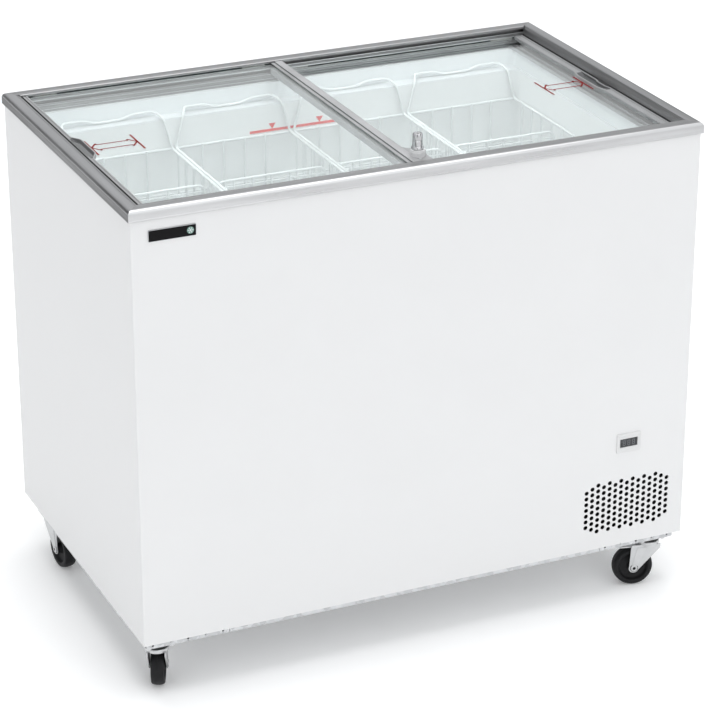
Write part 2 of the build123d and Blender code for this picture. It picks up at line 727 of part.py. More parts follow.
export_step(cord_inlet.part, "parts/cord_inlet.step")

compressor_middle = (395.0, 90.0)
compressor_feet = (170.0, 100.0)
compressor_z = 118.0

with BuildPart() as compressor:
    with BuildSketch(Plane.XY.offset(compressor_z)):
        with Locations(compressor_middle):
            RectangleRounded(compressor_feet[0] + 26, compressor_feet[1] + 26, 12)
            with GridLocations(*compressor_feet, 2, 2):
                Circle(6, mode=Mode.SUBTRACT)
    extrude(amount=3)
    with BuildSketch(Plane.XY.offset(compressor_z)):
        with Locations(compressor_middle):
            Ellipse(72, 84)
    extrude(amount=158)
    fillet(compressor.edges().group_by(Axis.Z)[-1], radius=40)
    with BuildSketch(Plane.XY.offset(compressor_z + 96)):
        with Locations(compressor_middle):
            Ellipse(74.5, 86.5)
    extrude(amount=5)
compressor.part.label = "compressor"
export_step(compressor.part, "parts/compressor.step")

with BuildPart() as compressor_grommets:
    with BuildSketch(Plane.XY.offset(pan_top)):
        with Locations(compressor_middle):
            with GridLocations(*compressor_feet, 2, 2):
                Circle(11)
    extrude(amount=compressor_z - pan_top)
    with BuildSketch(Plane.XY.offset(compressor_z)):
        with Locations(compressor_middle):
            with GridLocations(*compressor_feet, 2, 2):
                Circle(5.8)
    extrude(amount=9)
compressor_grommets.part.label = "compressor_grommets"
export_step(compressor_grommets.part, "parts/compressor_grommets.step")

with BuildPart() as terminal_box:
    with BuildSketch(Plane.XY.offset(pan_top)):
        with Locations((288, 262)):
            RectangleRounded(36, 84, 3)
    extrude(amount=70)
    fillet(terminal_box.edges().group_by(Axis.Z)[-1], radius=2)
terminal_box.part.label = "terminal_box"
export_step(terminal_box.part, "parts/terminal_box.step")

condenser_middle = (400.0, -279.0, 192.0)
fin_size = (1.0, 42.0, 150.0)
fin_count = 22
fin_pitch = 8.0
tube_radius = 4.0
tube_rows = 6
tube_pitch = 24.0
tube_half_gap = 11.0      # the two runs of each row stand this far in front of and behind the middle
tube_bend_x = 105.0       # bend centrelines, left and right of the middle
fin_span = (fin_count - 1) * fin_pitch
top_row_z = (tube_rows - 1) / 2 * tube_pitch

# One tube runs to and fro through the fins, two runs in each row, and ends low on the right.
tube_route = [(-tube_bend_x, tube_half_gap, top_row_z + 12)]
for row in range(tube_rows):
    row_z = top_row_z - row * tube_pitch
    near_y = -tube_half_gap if row % 2 else tube_half_gap
    tube_route += [(-tube_bend_x, near_y, row_z), (tube_bend_x, near_y, row_z)]
    if row < tube_rows - 1:
        tube_route += [(tube_bend_x, -near_y, row_z), (-tube_bend_x, -near_y, row_z)]
tube_route.append((tube_bend_x, tube_half_gap + 4, -top_row_z))

with BuildPart() as condenser:
    with Locations(condenser_middle):
        add(wire(tube_route, tube_radius, 9))
        with GridLocations(fin_pitch, 1, fin_count, 1):
            Box(*fin_size)
        with Locations((-fin_span / 2 - 4, 0, 0), (fin_span / 2 + 4, 0, 0)):
            Box(1.5, fin_size[1], fin_size[2] + 4)
condenser.part.label = "condenser"
export_step(condenser.part, "parts/condenser.step")

fan_x = 400.0
fan_z = 192.0
blade_reach = 61.0
shroud_y = -252.0

with BuildPart() as fan_shroud:
    with BuildSketch(Plane.XZ.offset(-shroud_y)):
        with Locations((fan_x, fan_z)):
            Rectangle(196, 154)
            Circle(66, mode=Mode.SUBTRACT)
    extrude(amount=-1.2)
    with BuildSketch(Plane.XZ.offset(-shroud_y - 1.2)):
        with Locations((fan_x, fan_z)):
            Circle(67.5)
            Circle(66, mode=Mode.SUBTRACT)
    extrude(amount=-12)
    with BuildSketch(Plane.XY.offset(pan_top)):
        with Locations((fan_x, shroud_y + 9)):
            Rectangle(196, 18)
    extrude(amount=1.2)
    with BuildSketch(Plane.XY.offset(pan_top)):
        with Locations((fan_x, shroud_y + 0.6)):
            Rectangle(196, 1.2)
    extrude(amount=8)
fan_shroud.part.label = "fan_shroud"
export_step(fan_shroud.part, "parts/fan_shroud.step")

motor_y = -200.0

with BuildPart() as fan_motor:
    with BuildSketch(Plane.XZ.offset(-motor_y)):
        with Locations((fan_x, fan_z)):
            Circle(29)
    extrude(amount=-44)
    fillet(fan_motor.edges().group_by(Axis.Y)[-1], radius=6)
    with BuildSketch(Plane.XZ.offset(-motor_y)):
        with Locations((fan_x, fan_z)):
            Circle(3)
    extrude(amount=38)
    with BuildSketch(Plane.XZ.offset(-motor_y)):
        with Locations((fan_x, fan_z)):
            for turn in (45, 135):
                Rectangle(200, 10, rotation=turn)
            Circle(95, mode=Mode.INTERSECT)
    extrude(amount=-2)
    with BuildSketch(Plane.XZ.offset(-shroud_y - 1.2)):
        with Locations((fan_x, fan_z)):
            with PolarLocations(90, 4, start_angle=45):
                Circle(4)
    extrude(amount=-(motor_y - shroud_y - 1.2))
fan_motor.part.label = "fan_motor"
export_step(fan_motor.part, "parts/fan_motor.step")

hub_radius = 17.0
blade_count = 5

with BuildPart() as fan_blades:
    with BuildSketch(Plane.XZ.offset(236)):
        with Locations((fan_x, fan_z)):
            Circle(hub_radius)
    extrude(amount=-24)
    fillet(fan_blades.edges().group_by(Axis.Y)[0], radius=3)
    for blade in range(blade_count):
        turn = radians(360 / blade_count * blade)
        outward = Vector(cos(turn), 0, sin(turn))
        across = Vector(-sin(turn), 0, cos(turn))
        pitch = radians(28)
        chord = across * cos(pitch) + Vector(0, 1, 0) * sin(pitch)
        root = Vector(fan_x, -224, fan_z) + outward * (hub_radius - 3)
        with BuildSketch(Plane(root, x_dir=chord, z_dir=outward)):
            Rectangle(34, 1.6)
        extrude(amount=blade_reach - hub_radius + 3)
    with Locations((fan_x, -224, fan_z)):
        Cylinder(3.05, 60, rotation=(90, 0, 0), mode=Mode.SUBTRACT)
fan_blades.part.label = "fan_blades"
export_step(fan_blades.part, "parts/fan_blades.step")

drier_x = 497.0

with BuildPart() as filter_drier:
    with BuildSketch(Plane((drier_x, -150, 300), x_dir=(1, 0, 0), z_dir=(0, 1, 0))):
        Circle(11)
    extrude(amount=90)
    fillet(filter_drier.edges().filter_by(GeomType.CIRCLE), radius=6)
filter_drier.part.label = "filter_drier"
export_step(filter_drier.part, "parts/filter_drier.step")

pipe_radius = 3.0
chase_x, chase_y = pipe_chase
condenser_x, condenser_y, condenser_z = condenser_middle
condenser_in = (condenser_x - tube_bend_x, condenser_y + tube_half_gap, condenser_z + top_row_z + 12)
condenser_out = (condenser_x + tube_bend_x, condenser_y + tube_half_gap + 4, condenser_z - top_row_z)
pipe_routes = (
    # discharge: compressor top to the condenser's upper end
    ((395, 60, 276), (395, 60, 300), (330, -40, 300), (condenser_in[0], -120, 295),
     (condenser_in[0], condenser_in[1], 290), condenser_in),
    # liquid: condenser's lower end to the drier, then the capillary up the chase
    (condenser_out, (505, -225, 136), (508, -195, 262), (drier_x, -178, 300), (drier_x, -150.5, 300)),
    ((drier_x, -59.5, 300), (drier_x, 150, 300), (chase_x, chase_y, 320),
     (chase_x, chase_y, coil_bottom - 5)),
)

with BuildPart() as refrigerant_pipes:
    for route in pipe_routes:
        with BuildLine() as path:
            FilletPolyline(*route, radius=9)
        with BuildSketch(Plane(origin=path.line @ 0, z_dir=path.line % 0)):
            Circle(pipe_radius)
        sweep(path=path.line)
refrigerant_pipes.part.label = "refrigerant_pipes"
export_step(refrigerant_pipes.part, "parts/refrigerant_pipes.step")

with BuildPart() as cabinet_screws:
    with BuildSketch(Plane.XZ.offset(-casing_y)):
        with Locations(*panel_screws):
            Circle(4)
    extrude(amount=-2)
    with BuildSketch(Plane.XZ.offset(-casing_y - sheet)):
        with Locations(grille_middle):
            with GridLocations(grille_cover[0] - 12, grille_cover[1] - 12, 2, 2):
                Circle(3.5)
    extrude(amount=-2)
    fillet(cabinet_screws.edges().group_by(Axis.Y)[-1], radius=0.8)
cabinet_screws.part.label = "cabinet_screws"
export_step(cabinet_screws.part, "parts/cabinet_screws.step")


# ---------------------------------------------------------------- wire baskets
hook_y = 284.5
hook_z = 832.0
dip_z = 824.8
divider_y = 80.0
divider_half = 104.0
divider_top = 757.0
grid_x = (-61.5, -20.5, 20.5, 61.5)
grid_y = [-220 + 40 * row for row in range(12)]


def half_frame(side):
    """Rim wire of one side, which rises into half of the hanging loop at each end."""
    quarter = [
        (0, hook_y, dip_z), (side * 28, hook_y, dip_z), (side * 42, hook_y, hook_z), (side * 87, hook_y, hook_z),
        (side * 91, 270, hook_z - 1), (side * 97, 258.5, 823), (side * basket_half_x, basket_half_y, basket_rim_z)]
    other = [(x, -y, z) for x, y, z in reversed(quarter)]
    return wire(quarter + other, rim_wire, 8)


def basket_wires():
    """All wires of one basket, welded where they cross, centred on x = 0."""
    post_y = basket_half_y - 3.2
    post_x = basket_half_x - 3.2
    post_top = basket_rim_z + 2.5
    cross_z = basket_floor_z + 2.8
    frame_left = half_frame(-1)
    frame_right = half_frame(1)
    long_wires = [
        wire([(x, post_y, post_top), (x, post_y, basket_floor_z), (x, -post_y, basket_floor_z),
              (x, -post_y, post_top)], grid_wire, 8)
        for x in grid_x]
    short_wires = [
        wire([(-post_x, y, post_top), (-post_x, y, cross_z), (post_x, y, cross_z), (post_x, y, post_top)],
             grid_wire, 8)
        for y in grid_y]
    with BuildPart() as basket:
        add(frame_left)
        add(frame_right)
        for side in (-1, 1):
            with Locations((0, side * basket_half_y, basket_rim_z)):
                Cylinder(rim_wire, 2 * basket_half_x, rotation=(0, 90, 0))
        for ring_z in (basket_floor_z + 90, basket_floor_z + 180):
            add(wire_ring(basket_half_x - 0.5, basket_half_y - 0.5, ring_z, 1.75, 8))
        add(long_wires)
        add(short_wires)
    return basket.part


def divider_wires():
    """Lift-out divider: a bent frame with upright wires."""
    foot_z = basket_floor_z + 6
    frame = wire([(-divider_half, divider_y, foot_z), (-divider_half, divider_y, divider_top),
                  (divider_half, divider_y, divider_top), (divider_half, divider_y, foot_z)], rim_wire - 0.3, 12)
    with BuildPart() as divider:
        add(frame)
        with Locations(*[(x, divider_y, (divider_top + foot_z) / 2) for x in (-72, -36, 0, 36, 72)]):
            Cylinder(grid_wire, divider_top - foot_z)
        with Locations((0, divider_y, divider_top - 14), (0, divider_y, foot_z + 30)):
            Cylinder(grid_wire, 2 * divider_half, rotation=(0, 90, 0))
    return divider.part


one_basket = basket_wires()
one_divider = divider_wires()
for number in range(basket_count):
    middle = basket_row_middle + (number - (basket_count - 1) / 2) * basket_pitch
    basket = Compound(children=[
        piece.moved(Location((middle, 0, 0)))
        for piece in one_basket.solids() + one_divider.solids()])
    basket.label = f"basket_{number + 1}"
    export_step(basket, f"parts/basket_{number + 1}.step")


# ---------------------------------------------------------------- casters
crown_radius = 22.0
crown_z = (82.0, 90.0)
leg_inner = 14.5
leg_sheet = 2.0
axle_radius = 4.0
pin_radius = 5.0
running = 0.05
brake_pivot = (16.0, 77.5)

with BuildPart() as caster_top_plates:
    for swivel_x, swivel_y, heading, middle in casters.values():
        with BuildSketch(Plane.XY.offset(caster_height - plate_thickness)):
            with Locations((swivel_x, swivel_y)):
                RectangleRounded(*plate_size, 4)
                with GridLocations(*plate_bolts, 2, 2):
                    Circle(3.25, mode=Mode.SUBTRACT)
        extrude(amount=plate_thickness)
        with BuildSketch(Plane.XY.offset(crown_z[1] + 0.5)):
            with Locations((swivel_x, swivel_y)):
                Circle(19)
        extrude(amount=caster_height - plate_thickness - crown_z[1] - 0.5)
        with BuildSketch(Plane.XY.offset(79)):
            with Locations((swivel_x, swivel_y)):
                Circle(pin_radius)
        extrude(amount=crown_z[1] + 0.5 - 79)
        with BuildSketch(Plane.XY.offset(79)):
            with Locations((swivel_x, swivel_y)):
                Circle(8)
        extrude(amount=2.6)
caster_top_plates.part.label = "caster_top_plates"
export_step(caster_top_plates.part, "parts/caster_top_plates.step")

with BuildPart() as caster_bolts:
    for swivel_x, swivel_y, heading, middle in casters.values():
        with BuildSketch(Plane.XY.offset(caster_height - plate_thickness)):
            with Locations((swivel_x, swivel_y)):
                with GridLocations(*plate_bolts, 2, 2):
                    RegularPolygon(4.6, 6)
        extrude(amount=-3.5)
        with BuildSketch(Plane.XY.offset(caster_height - plate_thickness)):
            with Locations((swivel_x, swivel_y)):
                with GridLocations(*plate_bolts, 2, 2):
                    Circle(3)
        extrude(amount=plate_thickness + bracket_sheet)
        with BuildSketch(Plane.XY.offset(caster_height + bracket_sheet)):
            with Locations((swivel_x, swivel_y)):
                with GridLocations(*plate_bolts, 2, 2):
                    Circle(4.4)
        extrude(amount=4)
caster_bolts.part.label = "caster_bolts"
export_step(caster_bolts.part, "parts/caster_bolts.step")

# One pressed-steel fork at the origin, its wheel trailing towards +X
with BuildPart() as fork:
    with BuildSketch(Plane.XZ):
        with BuildLine():
            Polyline((18.9, 33.6), (-20, 78), (-20, 84), (24, 84), (36.3, 38.8))
            ThreePointArc((36.3, 38.8), (27, 28), (18.9, 33.6))
        make_face()
        with Locations((caster_offset, wheel_z)):
            Circle(axle_radius, mode=Mode.SUBTRACT)
    extrude(amount=leg_inner + leg_sheet, both=True)
    with Locations((0, 0, 82 - 60)):
        Box(200, 2 * leg_inner, 120, mode=Mode.SUBTRACT)
    with BuildSketch(Plane.XY.offset(crown_z[0])):
        Circle(crown_radius)
    extrude(amount=crown_z[1] - crown_z[0])
    fillet(fork.edges().group_by(Axis.Z)[-1], radius=2)
    with Locations((0, 0, 86)):
        Cylinder(pin_radius + running, 20, mode=Mode.SUBTRACT)

with BuildPart() as axle:
    with BuildSketch(Plane.XZ.offset(leg_inner + leg_sheet)):
        with Locations((caster_offset, wheel_z)):
            Circle(axle_radius)
    extrude(amount=-2 * (leg_inner + leg_sheet))
    for side in (-1, 1):
        with BuildSketch(Plane.XZ.offset(side * (leg_inner + leg_sheet))):
            with Locations((caster_offset, wheel_z)):
                Circle(6.5)
        extrude(amount=side * 2)

with BuildPart() as brake_pin:
    with Locations((brake_pivot[0], 0, brake_pivot[1])):
        Cylinder(1.8, 2 * leg_inner, rotation=(90, 0, 0))

hub_half = leg_inner - 0.5

# Moulded wheel: rounded tread, dished sides and a hub that nearly fills the fork
with BuildPart() as wheel:
    with BuildSketch(Plane.XY):
        with BuildLine():
            Polyline(
                (axle_radius + running, 0), (axle_radius + running, hub_half), (9, hub_half), (11, 5),
                (26, 5), (29.5, wheel_width / 2 - 1), (32.5, wheel_width / 2))
            Spline((32.5, wheel_width / 2), (35.8, 10), (wheel_radius, 0),
                   tangents=((1, -0.1), (0, -1)))
            Line((wheel_radius, 0), (axle_radius + running, 0))
        make_face()
        mirror(about=Plane.XZ)
    revolve(axis=Axis.Y)

brake_width = 22.0

with BuildPart() as brake:
    with BuildSketch(Plane.XY.offset(brake_pivot[1])):
        with Locations((brake_pivot[0], 0)):
            Rectangle(38, brake_width, align=(Align.MIN, Align.CENTER))
        with Locations((54, 0)):
            Circle(8)
            Circle(3.2, mode=Mode.SUBTRACT)
    extrude(amount=1.6)
    with Locations((brake_pivot[0], 0, brake_pivot[1])):
        Cylinder(3.4, brake_width, rotation=(90, 0, 0))
        Cylinder(1.8 + running, 2 * brake_width, rotation=(90, 0, 0), mode=Mode.SUBTRACT)
    with Locations((caster_offset, 0, 76.5)):
        Box(10, 14, 2.2)

for name, (swivel_x, swivel_y, heading, middle) in casters.items():
    spot = Location((swivel_x, swivel_y, 0), (0, 0, heading))
    riveted = [fork.part, axle.part] + ([brake_pin.part] if name in braked else [])
    fork_group = Compound(children=[piece.solid().moved(spot) for piece in riveted])
    fork_group.label = f"caster_{name}_fork"
    export_step(fork_group, f"parts/caster_{name}_fork.step")

    rolling = wheel.part.moved(spot * Location((caster_offset, 0, wheel_z)))
    rolling.label = f"caster_{name}_wheel"
    export_step(rolling, f"parts/caster_{name}_wheel.step")

    if name in braked:
        lever = brake.part.moved(spot)
        lever.label = f"caster_{name}_brake"
        export_step(lever, f"parts/caster_{name}_brake.step")
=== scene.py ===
import json
import math

import bmesh
import bpy
from mathutils import Matrix, Vector


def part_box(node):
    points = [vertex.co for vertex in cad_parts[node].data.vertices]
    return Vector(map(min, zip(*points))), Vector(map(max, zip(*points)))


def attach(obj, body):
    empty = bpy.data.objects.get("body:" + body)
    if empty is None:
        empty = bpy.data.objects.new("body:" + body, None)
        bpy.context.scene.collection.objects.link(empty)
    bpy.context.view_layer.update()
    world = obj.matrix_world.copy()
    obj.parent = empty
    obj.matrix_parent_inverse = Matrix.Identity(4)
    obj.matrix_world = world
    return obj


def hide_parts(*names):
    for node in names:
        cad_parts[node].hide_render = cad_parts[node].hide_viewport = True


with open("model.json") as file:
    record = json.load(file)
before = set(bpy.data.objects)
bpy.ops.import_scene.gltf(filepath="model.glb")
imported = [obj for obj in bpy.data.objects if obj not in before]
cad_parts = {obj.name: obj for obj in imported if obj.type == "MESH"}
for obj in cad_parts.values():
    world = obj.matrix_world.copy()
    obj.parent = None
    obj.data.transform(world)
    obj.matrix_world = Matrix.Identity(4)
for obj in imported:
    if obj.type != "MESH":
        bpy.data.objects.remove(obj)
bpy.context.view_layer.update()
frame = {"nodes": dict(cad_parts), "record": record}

MM = 0.001
X, Y, Z = Vector((1, 0, 0)), Vector((0, 1, 0)), Vector((0, 0, 1))


# ---------------------------------------------------------------- materials
def new_node(tree, kind, **inputs):
    """A shader node, with the named inputs set; an underscore in a name stands for a space."""
    made = tree.nodes.new(kind)
    for key, value in inputs.items():
        made.inputs[key.replace("_", " ")].default_value = value
    return made


def blank_material(name):
    made = bpy.data.materials.new(name)
    made.use_nodes = True
    made.node_tree.nodes.clear()
    output = made.node_tree.nodes.new("ShaderNodeOutputMaterial")
    surface = made.node_tree.nodes.new("ShaderNodeBsdfPrincipled")
    made.node_tree.links.new(surface.outputs[0], output.inputs["Surface"])
    return made, made.node_tree, surface, output


def spread(tree, source, low, high):
    """The source's 0.3 to 0.7, stretched to low and high."""
    made = new_node(tree, "ShaderNodeMapRange", From_Min=0.3, From_Max=0.7, To_Min=low, To_Max=high)
    tree.links.new(source, made.inputs["Value"])
    return made.outputs["Result"]


def maths(tree, operation, first, second=None):
    """Result of a maths node; first and second are sockets or plain numbers."""
    made = tree.nodes.new("ShaderNodeMath")
    made.operation = operation
    for socket, value in zip(made.inputs, (first, second)):
        if isinstance(value, bpy.types.NodeSocket):
            tree.links.new(value, socket)
        elif value is not None:
            socket.default_value = value
    return made.outputs[0]


def colour_mix(tree, factor, first, second):
    """Colour mix; first and second are sockets or plain colours."""
    made = tree.nodes.new("ShaderNodeMix")
    made.data_type = "RGBA"
    tree.links.new(factor, made.inputs["Factor"])
    for key, value in (("A", first), ("B", second)):
        socket = [s for s in made.inputs if s.name == key and s.type == "RGBA"][0]
        if isinstance(value, bpy.types.NodeSocket):
            tree.links.new(value, socket)
        else:
            socket.default_value = (*value, 1)
    return [s for s in made.outputs if s.type == "RGBA"][0]


def finish(name, colour, rough, metallic=0.0, tone=0.03, tone_scale=7.0, rough_spread=0.05, grain=500.0,
           depth=0.02, stretch=(1, 1, 1), edge_wear_and_highlight=None, coat=0.0, spangle=0.0, dirt=0.0, shine=0.5):
    """Opaque finish: drifting tone, uneven gloss, fine grain; sharp edges paled, partly worn and partly as
    painted highlight; dirt dulls the foot.
    """
    made, tree, surface, output = blank_material(name)
    place = tree.nodes.new("ShaderNodeTexCoord").outputs["Object"]
    along = new_node(tree, "ShaderNodeMapping", Scale=stretch)
    tree.links.new(place, along.inputs["Vector"])
    drift = new_node(tree, "ShaderNodeTexNoise", Scale=tone_scale, Detail=4.0, Roughness=0.55)
    tree.links.new(along.outputs[0], drift.inputs["Vector"])
    drift_range = new_node(tree, "ShaderNodeMapRange", From_Min=0.3, From_Max=0.7)
    tree.links.new(drift.outputs["Fac"], drift_range.inputs["Value"])
    darker = [c * (1 - tone) for c in colour]
    paler = [min(1, c * (1 + tone)) for c in colour]
    shade = colour_mix(tree, drift_range.outputs["Result"], darker, paler)

    if spangle:
        flakes = new_node(tree, "ShaderNodeTexVoronoi", Scale=110.0)
        tree.links.new(place, flakes.inputs["Vector"])
        level = tree.nodes.new("ShaderNodeSeparateColor")
        tree.links.new(flakes.outputs["Color"], level.inputs[0])
        part = new_node(tree, "ShaderNodeMapRange", To_Min=0.0, To_Max=spangle)
        tree.links.new(level.outputs[0], part.inputs["Value"])
        shade = colour_mix(tree, part.outputs["Result"], shade, [c * 0.45 for c in colour])
    if dirt:
        height = tree.nodes.new("ShaderNodeSeparateXYZ")
        tree.links.new(place, height.inputs[0])
        low_part = new_node(tree, "ShaderNodeMapRange", From_Min=0.10, From_Max=0.30, To_Min=dirt,
                            To_Max=0.0)
        tree.links.new(height.outputs["Z"], low_part.inputs["Value"])
        smudge = maths(tree, "MULTIPLY", low_part.outputs["Result"], drift_range.outputs["Result"])
        shade = colour_mix(tree, smudge, shade, (0.42, 0.40, 0.37))
    # Paler sharp edges: partly worn, partly a painted highlight on the bevels
    if edge_wear_and_highlight:
        edges = tree.nodes.new("ShaderNodeNewGeometry").outputs["Pointiness"]
        worn_and_highlit_edges = new_node(tree, "ShaderNodeMapRange", From_Min=0.53, From_Max=0.62, To_Min=0.0, To_Max=0.6)
        tree.links.new(edges, worn_and_highlit_edges.inputs["Value"])
        patchy = maths(tree, "MULTIPLY", worn_and_highlit_edges.outputs["Result"], drift_range.outputs["Result"])
        shade = colour_mix(tree, patchy, shade, edge_wear_and_highlight)
    tree.links.new(shade, surface.inputs["Base Color"])

    fine = new_node(tree, "ShaderNodeTexNoise", Scale=grain, Detail=2.0)
    tree.links.new(along.outputs[0], fine.inputs["Vector"])
    gloss = spread(tree, drift.outputs["Fac"], rough - rough_spread, rough + rough_spread)
    tree.links.new(gloss, surface.inputs["Roughness"])
    bump = new_node(tree, "ShaderNodeBump", Strength=depth * 10, Distance=0.0002)
    tree.links.new(fine.outputs["Fac"], bump.inputs["Height"])
    tree.links.new(bump.outputs[0], surface.inputs["Normal"])
    surface.inputs["Metallic"].default_value = metallic
    surface.inputs["Coat Weight"].default_value = coat
    surface.inputs["Specular IOR Level"].default_value = shine
    surface.inputs["Coat Roughness"].default_value = 0.12
    return made


def clear_glass(name, tint, rough):
    """Clear float glass with faint wipe marks. Rays from lamps pass straight through it."""
    made, tree, surface, output = blank_material(name)
    surface.inputs["Base Color"].default_value = (*tint, 1)
    surface.inputs["Transmission Weight"].default_value = 1.0
    surface.inputs["IOR"].default_value = 1.46
    place = tree.nodes.new("ShaderNodeTexCoord").outputs["Object"]
    wipes = new_node(tree, "ShaderNodeTexNoise", Scale=9.0, Detail=5.0)
    tree.links.new(place, wipes.inputs["Vector"])
    tree.links.new(spread(tree, wipes.outputs["Fac"], rough, rough + 0.02), surface.inputs["Roughness"])
    passing = new_node(tree, "ShaderNodeBsdfTransparent", Color=(*[c ** 0.5 for c in tint], 1))
    rays = tree.nodes.new("ShaderNodeLightPath")
    mixed = tree.nodes.new("ShaderNodeMixShader")
    tree.links.new(rays.outputs["Is Shadow Ray"], mixed.inputs["Fac"])
    tree.links.new(surface.outputs[0], mixed.inputs[1])
    tree.links.new(passing.outputs[0], mixed.inputs[2])
    tree.links.new(mixed.outputs[0], output.inputs["Surface"])
    return made


BRUSHED = dict(metallic=1.0, tone=0.07, rough_spread=0.07, grain=300.0, edge_wear_and_highlight=(0.86, 0.86, 0.87))
looks = {
    "painted_white": finish("white_powder_coat", (0.745, 0.745, 0.746), 0.50, tone=0.008, grain=700.0,
                            depth=0.015, coat=0.08, dirt=0.06),
    "galvanised": finish("galvanised_sheet", (0.66, 0.67, 0.68), 0.40, metallic=0.85, spangle=0.5,
                         depth=0.02),
    "aluminium": finish("anodised_aluminium", (0.47, 0.47, 0.475), 0.34, **BRUSHED),
    "lid_glass": clear_glass("lid_glass", (0.962, 0.992, 0.987), 0.0),
    "lid_trim": finish("lid_trim_grey", (0.35, 0.354, 0.358), 0.42, metallic=0.35, tone=0.05, grain=420.0,
                       edge_wear_and_highlight=(0.62, 0.62, 0.63)),
    "nylon": finish("nylon", (0.70, 0.70, 0.68), 0.45, tone=0.04),
    "black_seal": finish("seal_rubber", (0.012, 0.012, 0.013), 0.62, tone=0.3, depth=0.05),
    "liner_white": finish("liner_white", (0.945, 0.962, 0.962), 0.42, tone=0.012, grain=260.0, depth=0.012,
                          coat=0.05),
    "surround_white": finish("surround_white", (0.925, 0.952, 0.965), 0.42, tone=0.012, grain=300.0,
                             depth=0.015, coat=0.05),
    "foam": finish("rigid_foam", (0.80, 0.72, 0.48), 0.85, tone=0.10, grain=160.0, depth=0.2),
    "badge_black": finish("badge_black", (0.004, 0.004, 0.0045), 0.42, tone=0.2, shine=0.12),
    "white_plastic": finish("white_plastic", (0.68, 0.68, 0.68), 0.40, tone=0.012, depth=0.02),
    "display_dark": finish("display_window", (0.020, 0.022, 0.025), 0.25, tone=0.25, tone_scale=60.0,
                           coat=0.2),
    "black_plastic": finish("black_plastic", (0.020, 0.020, 0.021), 0.48, tone=0.2, depth=0.05),
    "compressor_black": finish("black_enamel", (0.016, 0.016, 0.018), 0.30, tone=0.2, coat=0.4),
    "rubber": finish("rubber", (0.022, 0.022, 0.022), 0.75, tone=0.2, depth=0.06),
    "condenser_black": finish("condenser_black", (0.018, 0.018, 0.019), 0.55, tone=0.25, depth=0.04),
    "copper": finish("copper", (0.72, 0.36, 0.22), 0.30, metallic=1.0, tone=0.10, edge_wear_and_highlight=(0.85, 0.52, 0.38)),
    "chrome": finish("chrome", (0.52, 0.52, 0.53), 0.07, metallic=1.0, tone=0.03, rough_spread=0.03,
                     depth=0.004),
    "zinc": finish("zinc_plate", (0.56, 0.565, 0.57), 0.36, metallic=0.9, tone=0.05, tone_scale=40.0,
                   grain=350.0, depth=0.02, edge_wear_and_highlight=(0.92, 0.92, 0.93)),
    "wire_white": finish("coated_wire", (0.86, 0.885, 0.89), 0.24, tone=0.015, tone_scale=20.0, grain=220.0,
                         depth=0.03, coat=0.3),
    "wheel_black": finish("wheel_black", (0.008, 0.008, 0.009), 0.50, tone=0.25, tone_scale=30.0, grain=300.0,
                          depth=0.05, edge_wear_and_highlight=(0.04, 0.04, 0.04), shine=0.22),
}

# Faces of the surround that point up are mixed toward grey: painted shade, so the ledge comes out no brighter
# than the walls under the overhead light
ledge_tree = looks["surround_white"].node_tree
ledge_surface = ledge_tree.nodes["Principled BSDF"]
facing = ledge_tree.nodes.new("ShaderNodeSeparateXYZ")
ledge_tree.links.new(ledge_tree.nodes.new("ShaderNodeNewGeometry").outputs["Normal"], facing.inputs[0])
upward_painted_shade = new_node(ledge_tree, "ShaderNodeMapRange", From_Min=0.5, From_Max=0.95, To_Min=0.0, To_Max=1.0)
ledge_tree.links.new(facing.outputs["Z"], upward_painted_shade.inputs["Value"])
wall_tone = ledge_surface.inputs["Base Color"].links[0].from_socket
ledge_tree.links.new(colour_mix(ledge_tree, upward_painted_shade.outputs["Result"], wall_tone, (0.70, 0.72, 0.73)),
                     ledge_surface.inputs["Base Color"])

ALONG_X = dict(stretch=(0.05, 1, 1), tone_scale=60.0, **BRUSHED)
ALONG_Y = dict(stretch=(1, 0.05, 1), tone_scale=60.0, **BRUSHED)
# One anodised aluminium in lit and shaded copies, as painted light and shade: the front rail lit; its top,
# the side rails, their outer skirts and the rear rail shaded; pale painted-highlight bands on the rear rail's
# inner wall
front_rail_lit_tone = finish("brushed_along_x_lit_tone", (0.54, 0.54, 0.545), 0.32, depth=0.01, **ALONG_X)
side_rail_shaded_tone = finish("brushed_along_y_shaded_tone", (0.34, 0.34, 0.345), 0.34, **ALONG_Y)
rear_rail_shaded_tone = finish("rear_rail_shaded_tone", (0.29, 0.29, 0.293), 0.36, depth=0.01, **ALONG_X)
brushed_top = finish("brushed_top", (0.27, 0.27, 0.273), 0.34, **ALONG_X)
rear_band_highlight_tone = finish("rear_band_highlight_tone", (0.60, 0.62, 0.62), 0.36, **ALONG_X)
side_skirt_shaded_tone = finish("side_skirt_shaded_tone", (0.085, 0.085, 0.087), 0.40, **ALONG_Y)
# Paler copy of the lid trim grey for the lock boss: painted light
lock_boss_painted_light = finish("lock_boss_painted_light", (0.62, 0.62, 0.625), 0.45, tone=0.04, grain=420.0)
# Dark grey for the trims' finger dish: painted shade in the hollow
dish_painted_shade = finish("dish_painted_shade", (0.10, 0.10, 0.103), 0.55, metallic=0.2, tone=0.10, grain=420.0)
glass_edge = finish("glass_edge", (0.20, 0.42, 0.38), 0.22, tone=0.08, tone_scale=40.0, coat=0.5)
red_print = finish("red_print", (0.22, 0.006, 0.004), 0.6, tone=0.08, tone_scale=80.0, shine=0.2)
load_red = finish("load_red", (0.85, 0.03, 0.02), 0.6, tone=0.05, tone_scale=80.0, shine=0.2)
disc_green = finish("disc_green", (0.16, 0.30, 0.25), 0.35, tone=0.15, tone_scale=300.0)
silver_print = finish("silver_print", (0.75, 0.76, 0.78), 0.3, metallic=0.6, tone=0.03)
segment_grey = finish("segment_grey", (0.13, 0.14, 0.15), 0.3, tone=0.05)

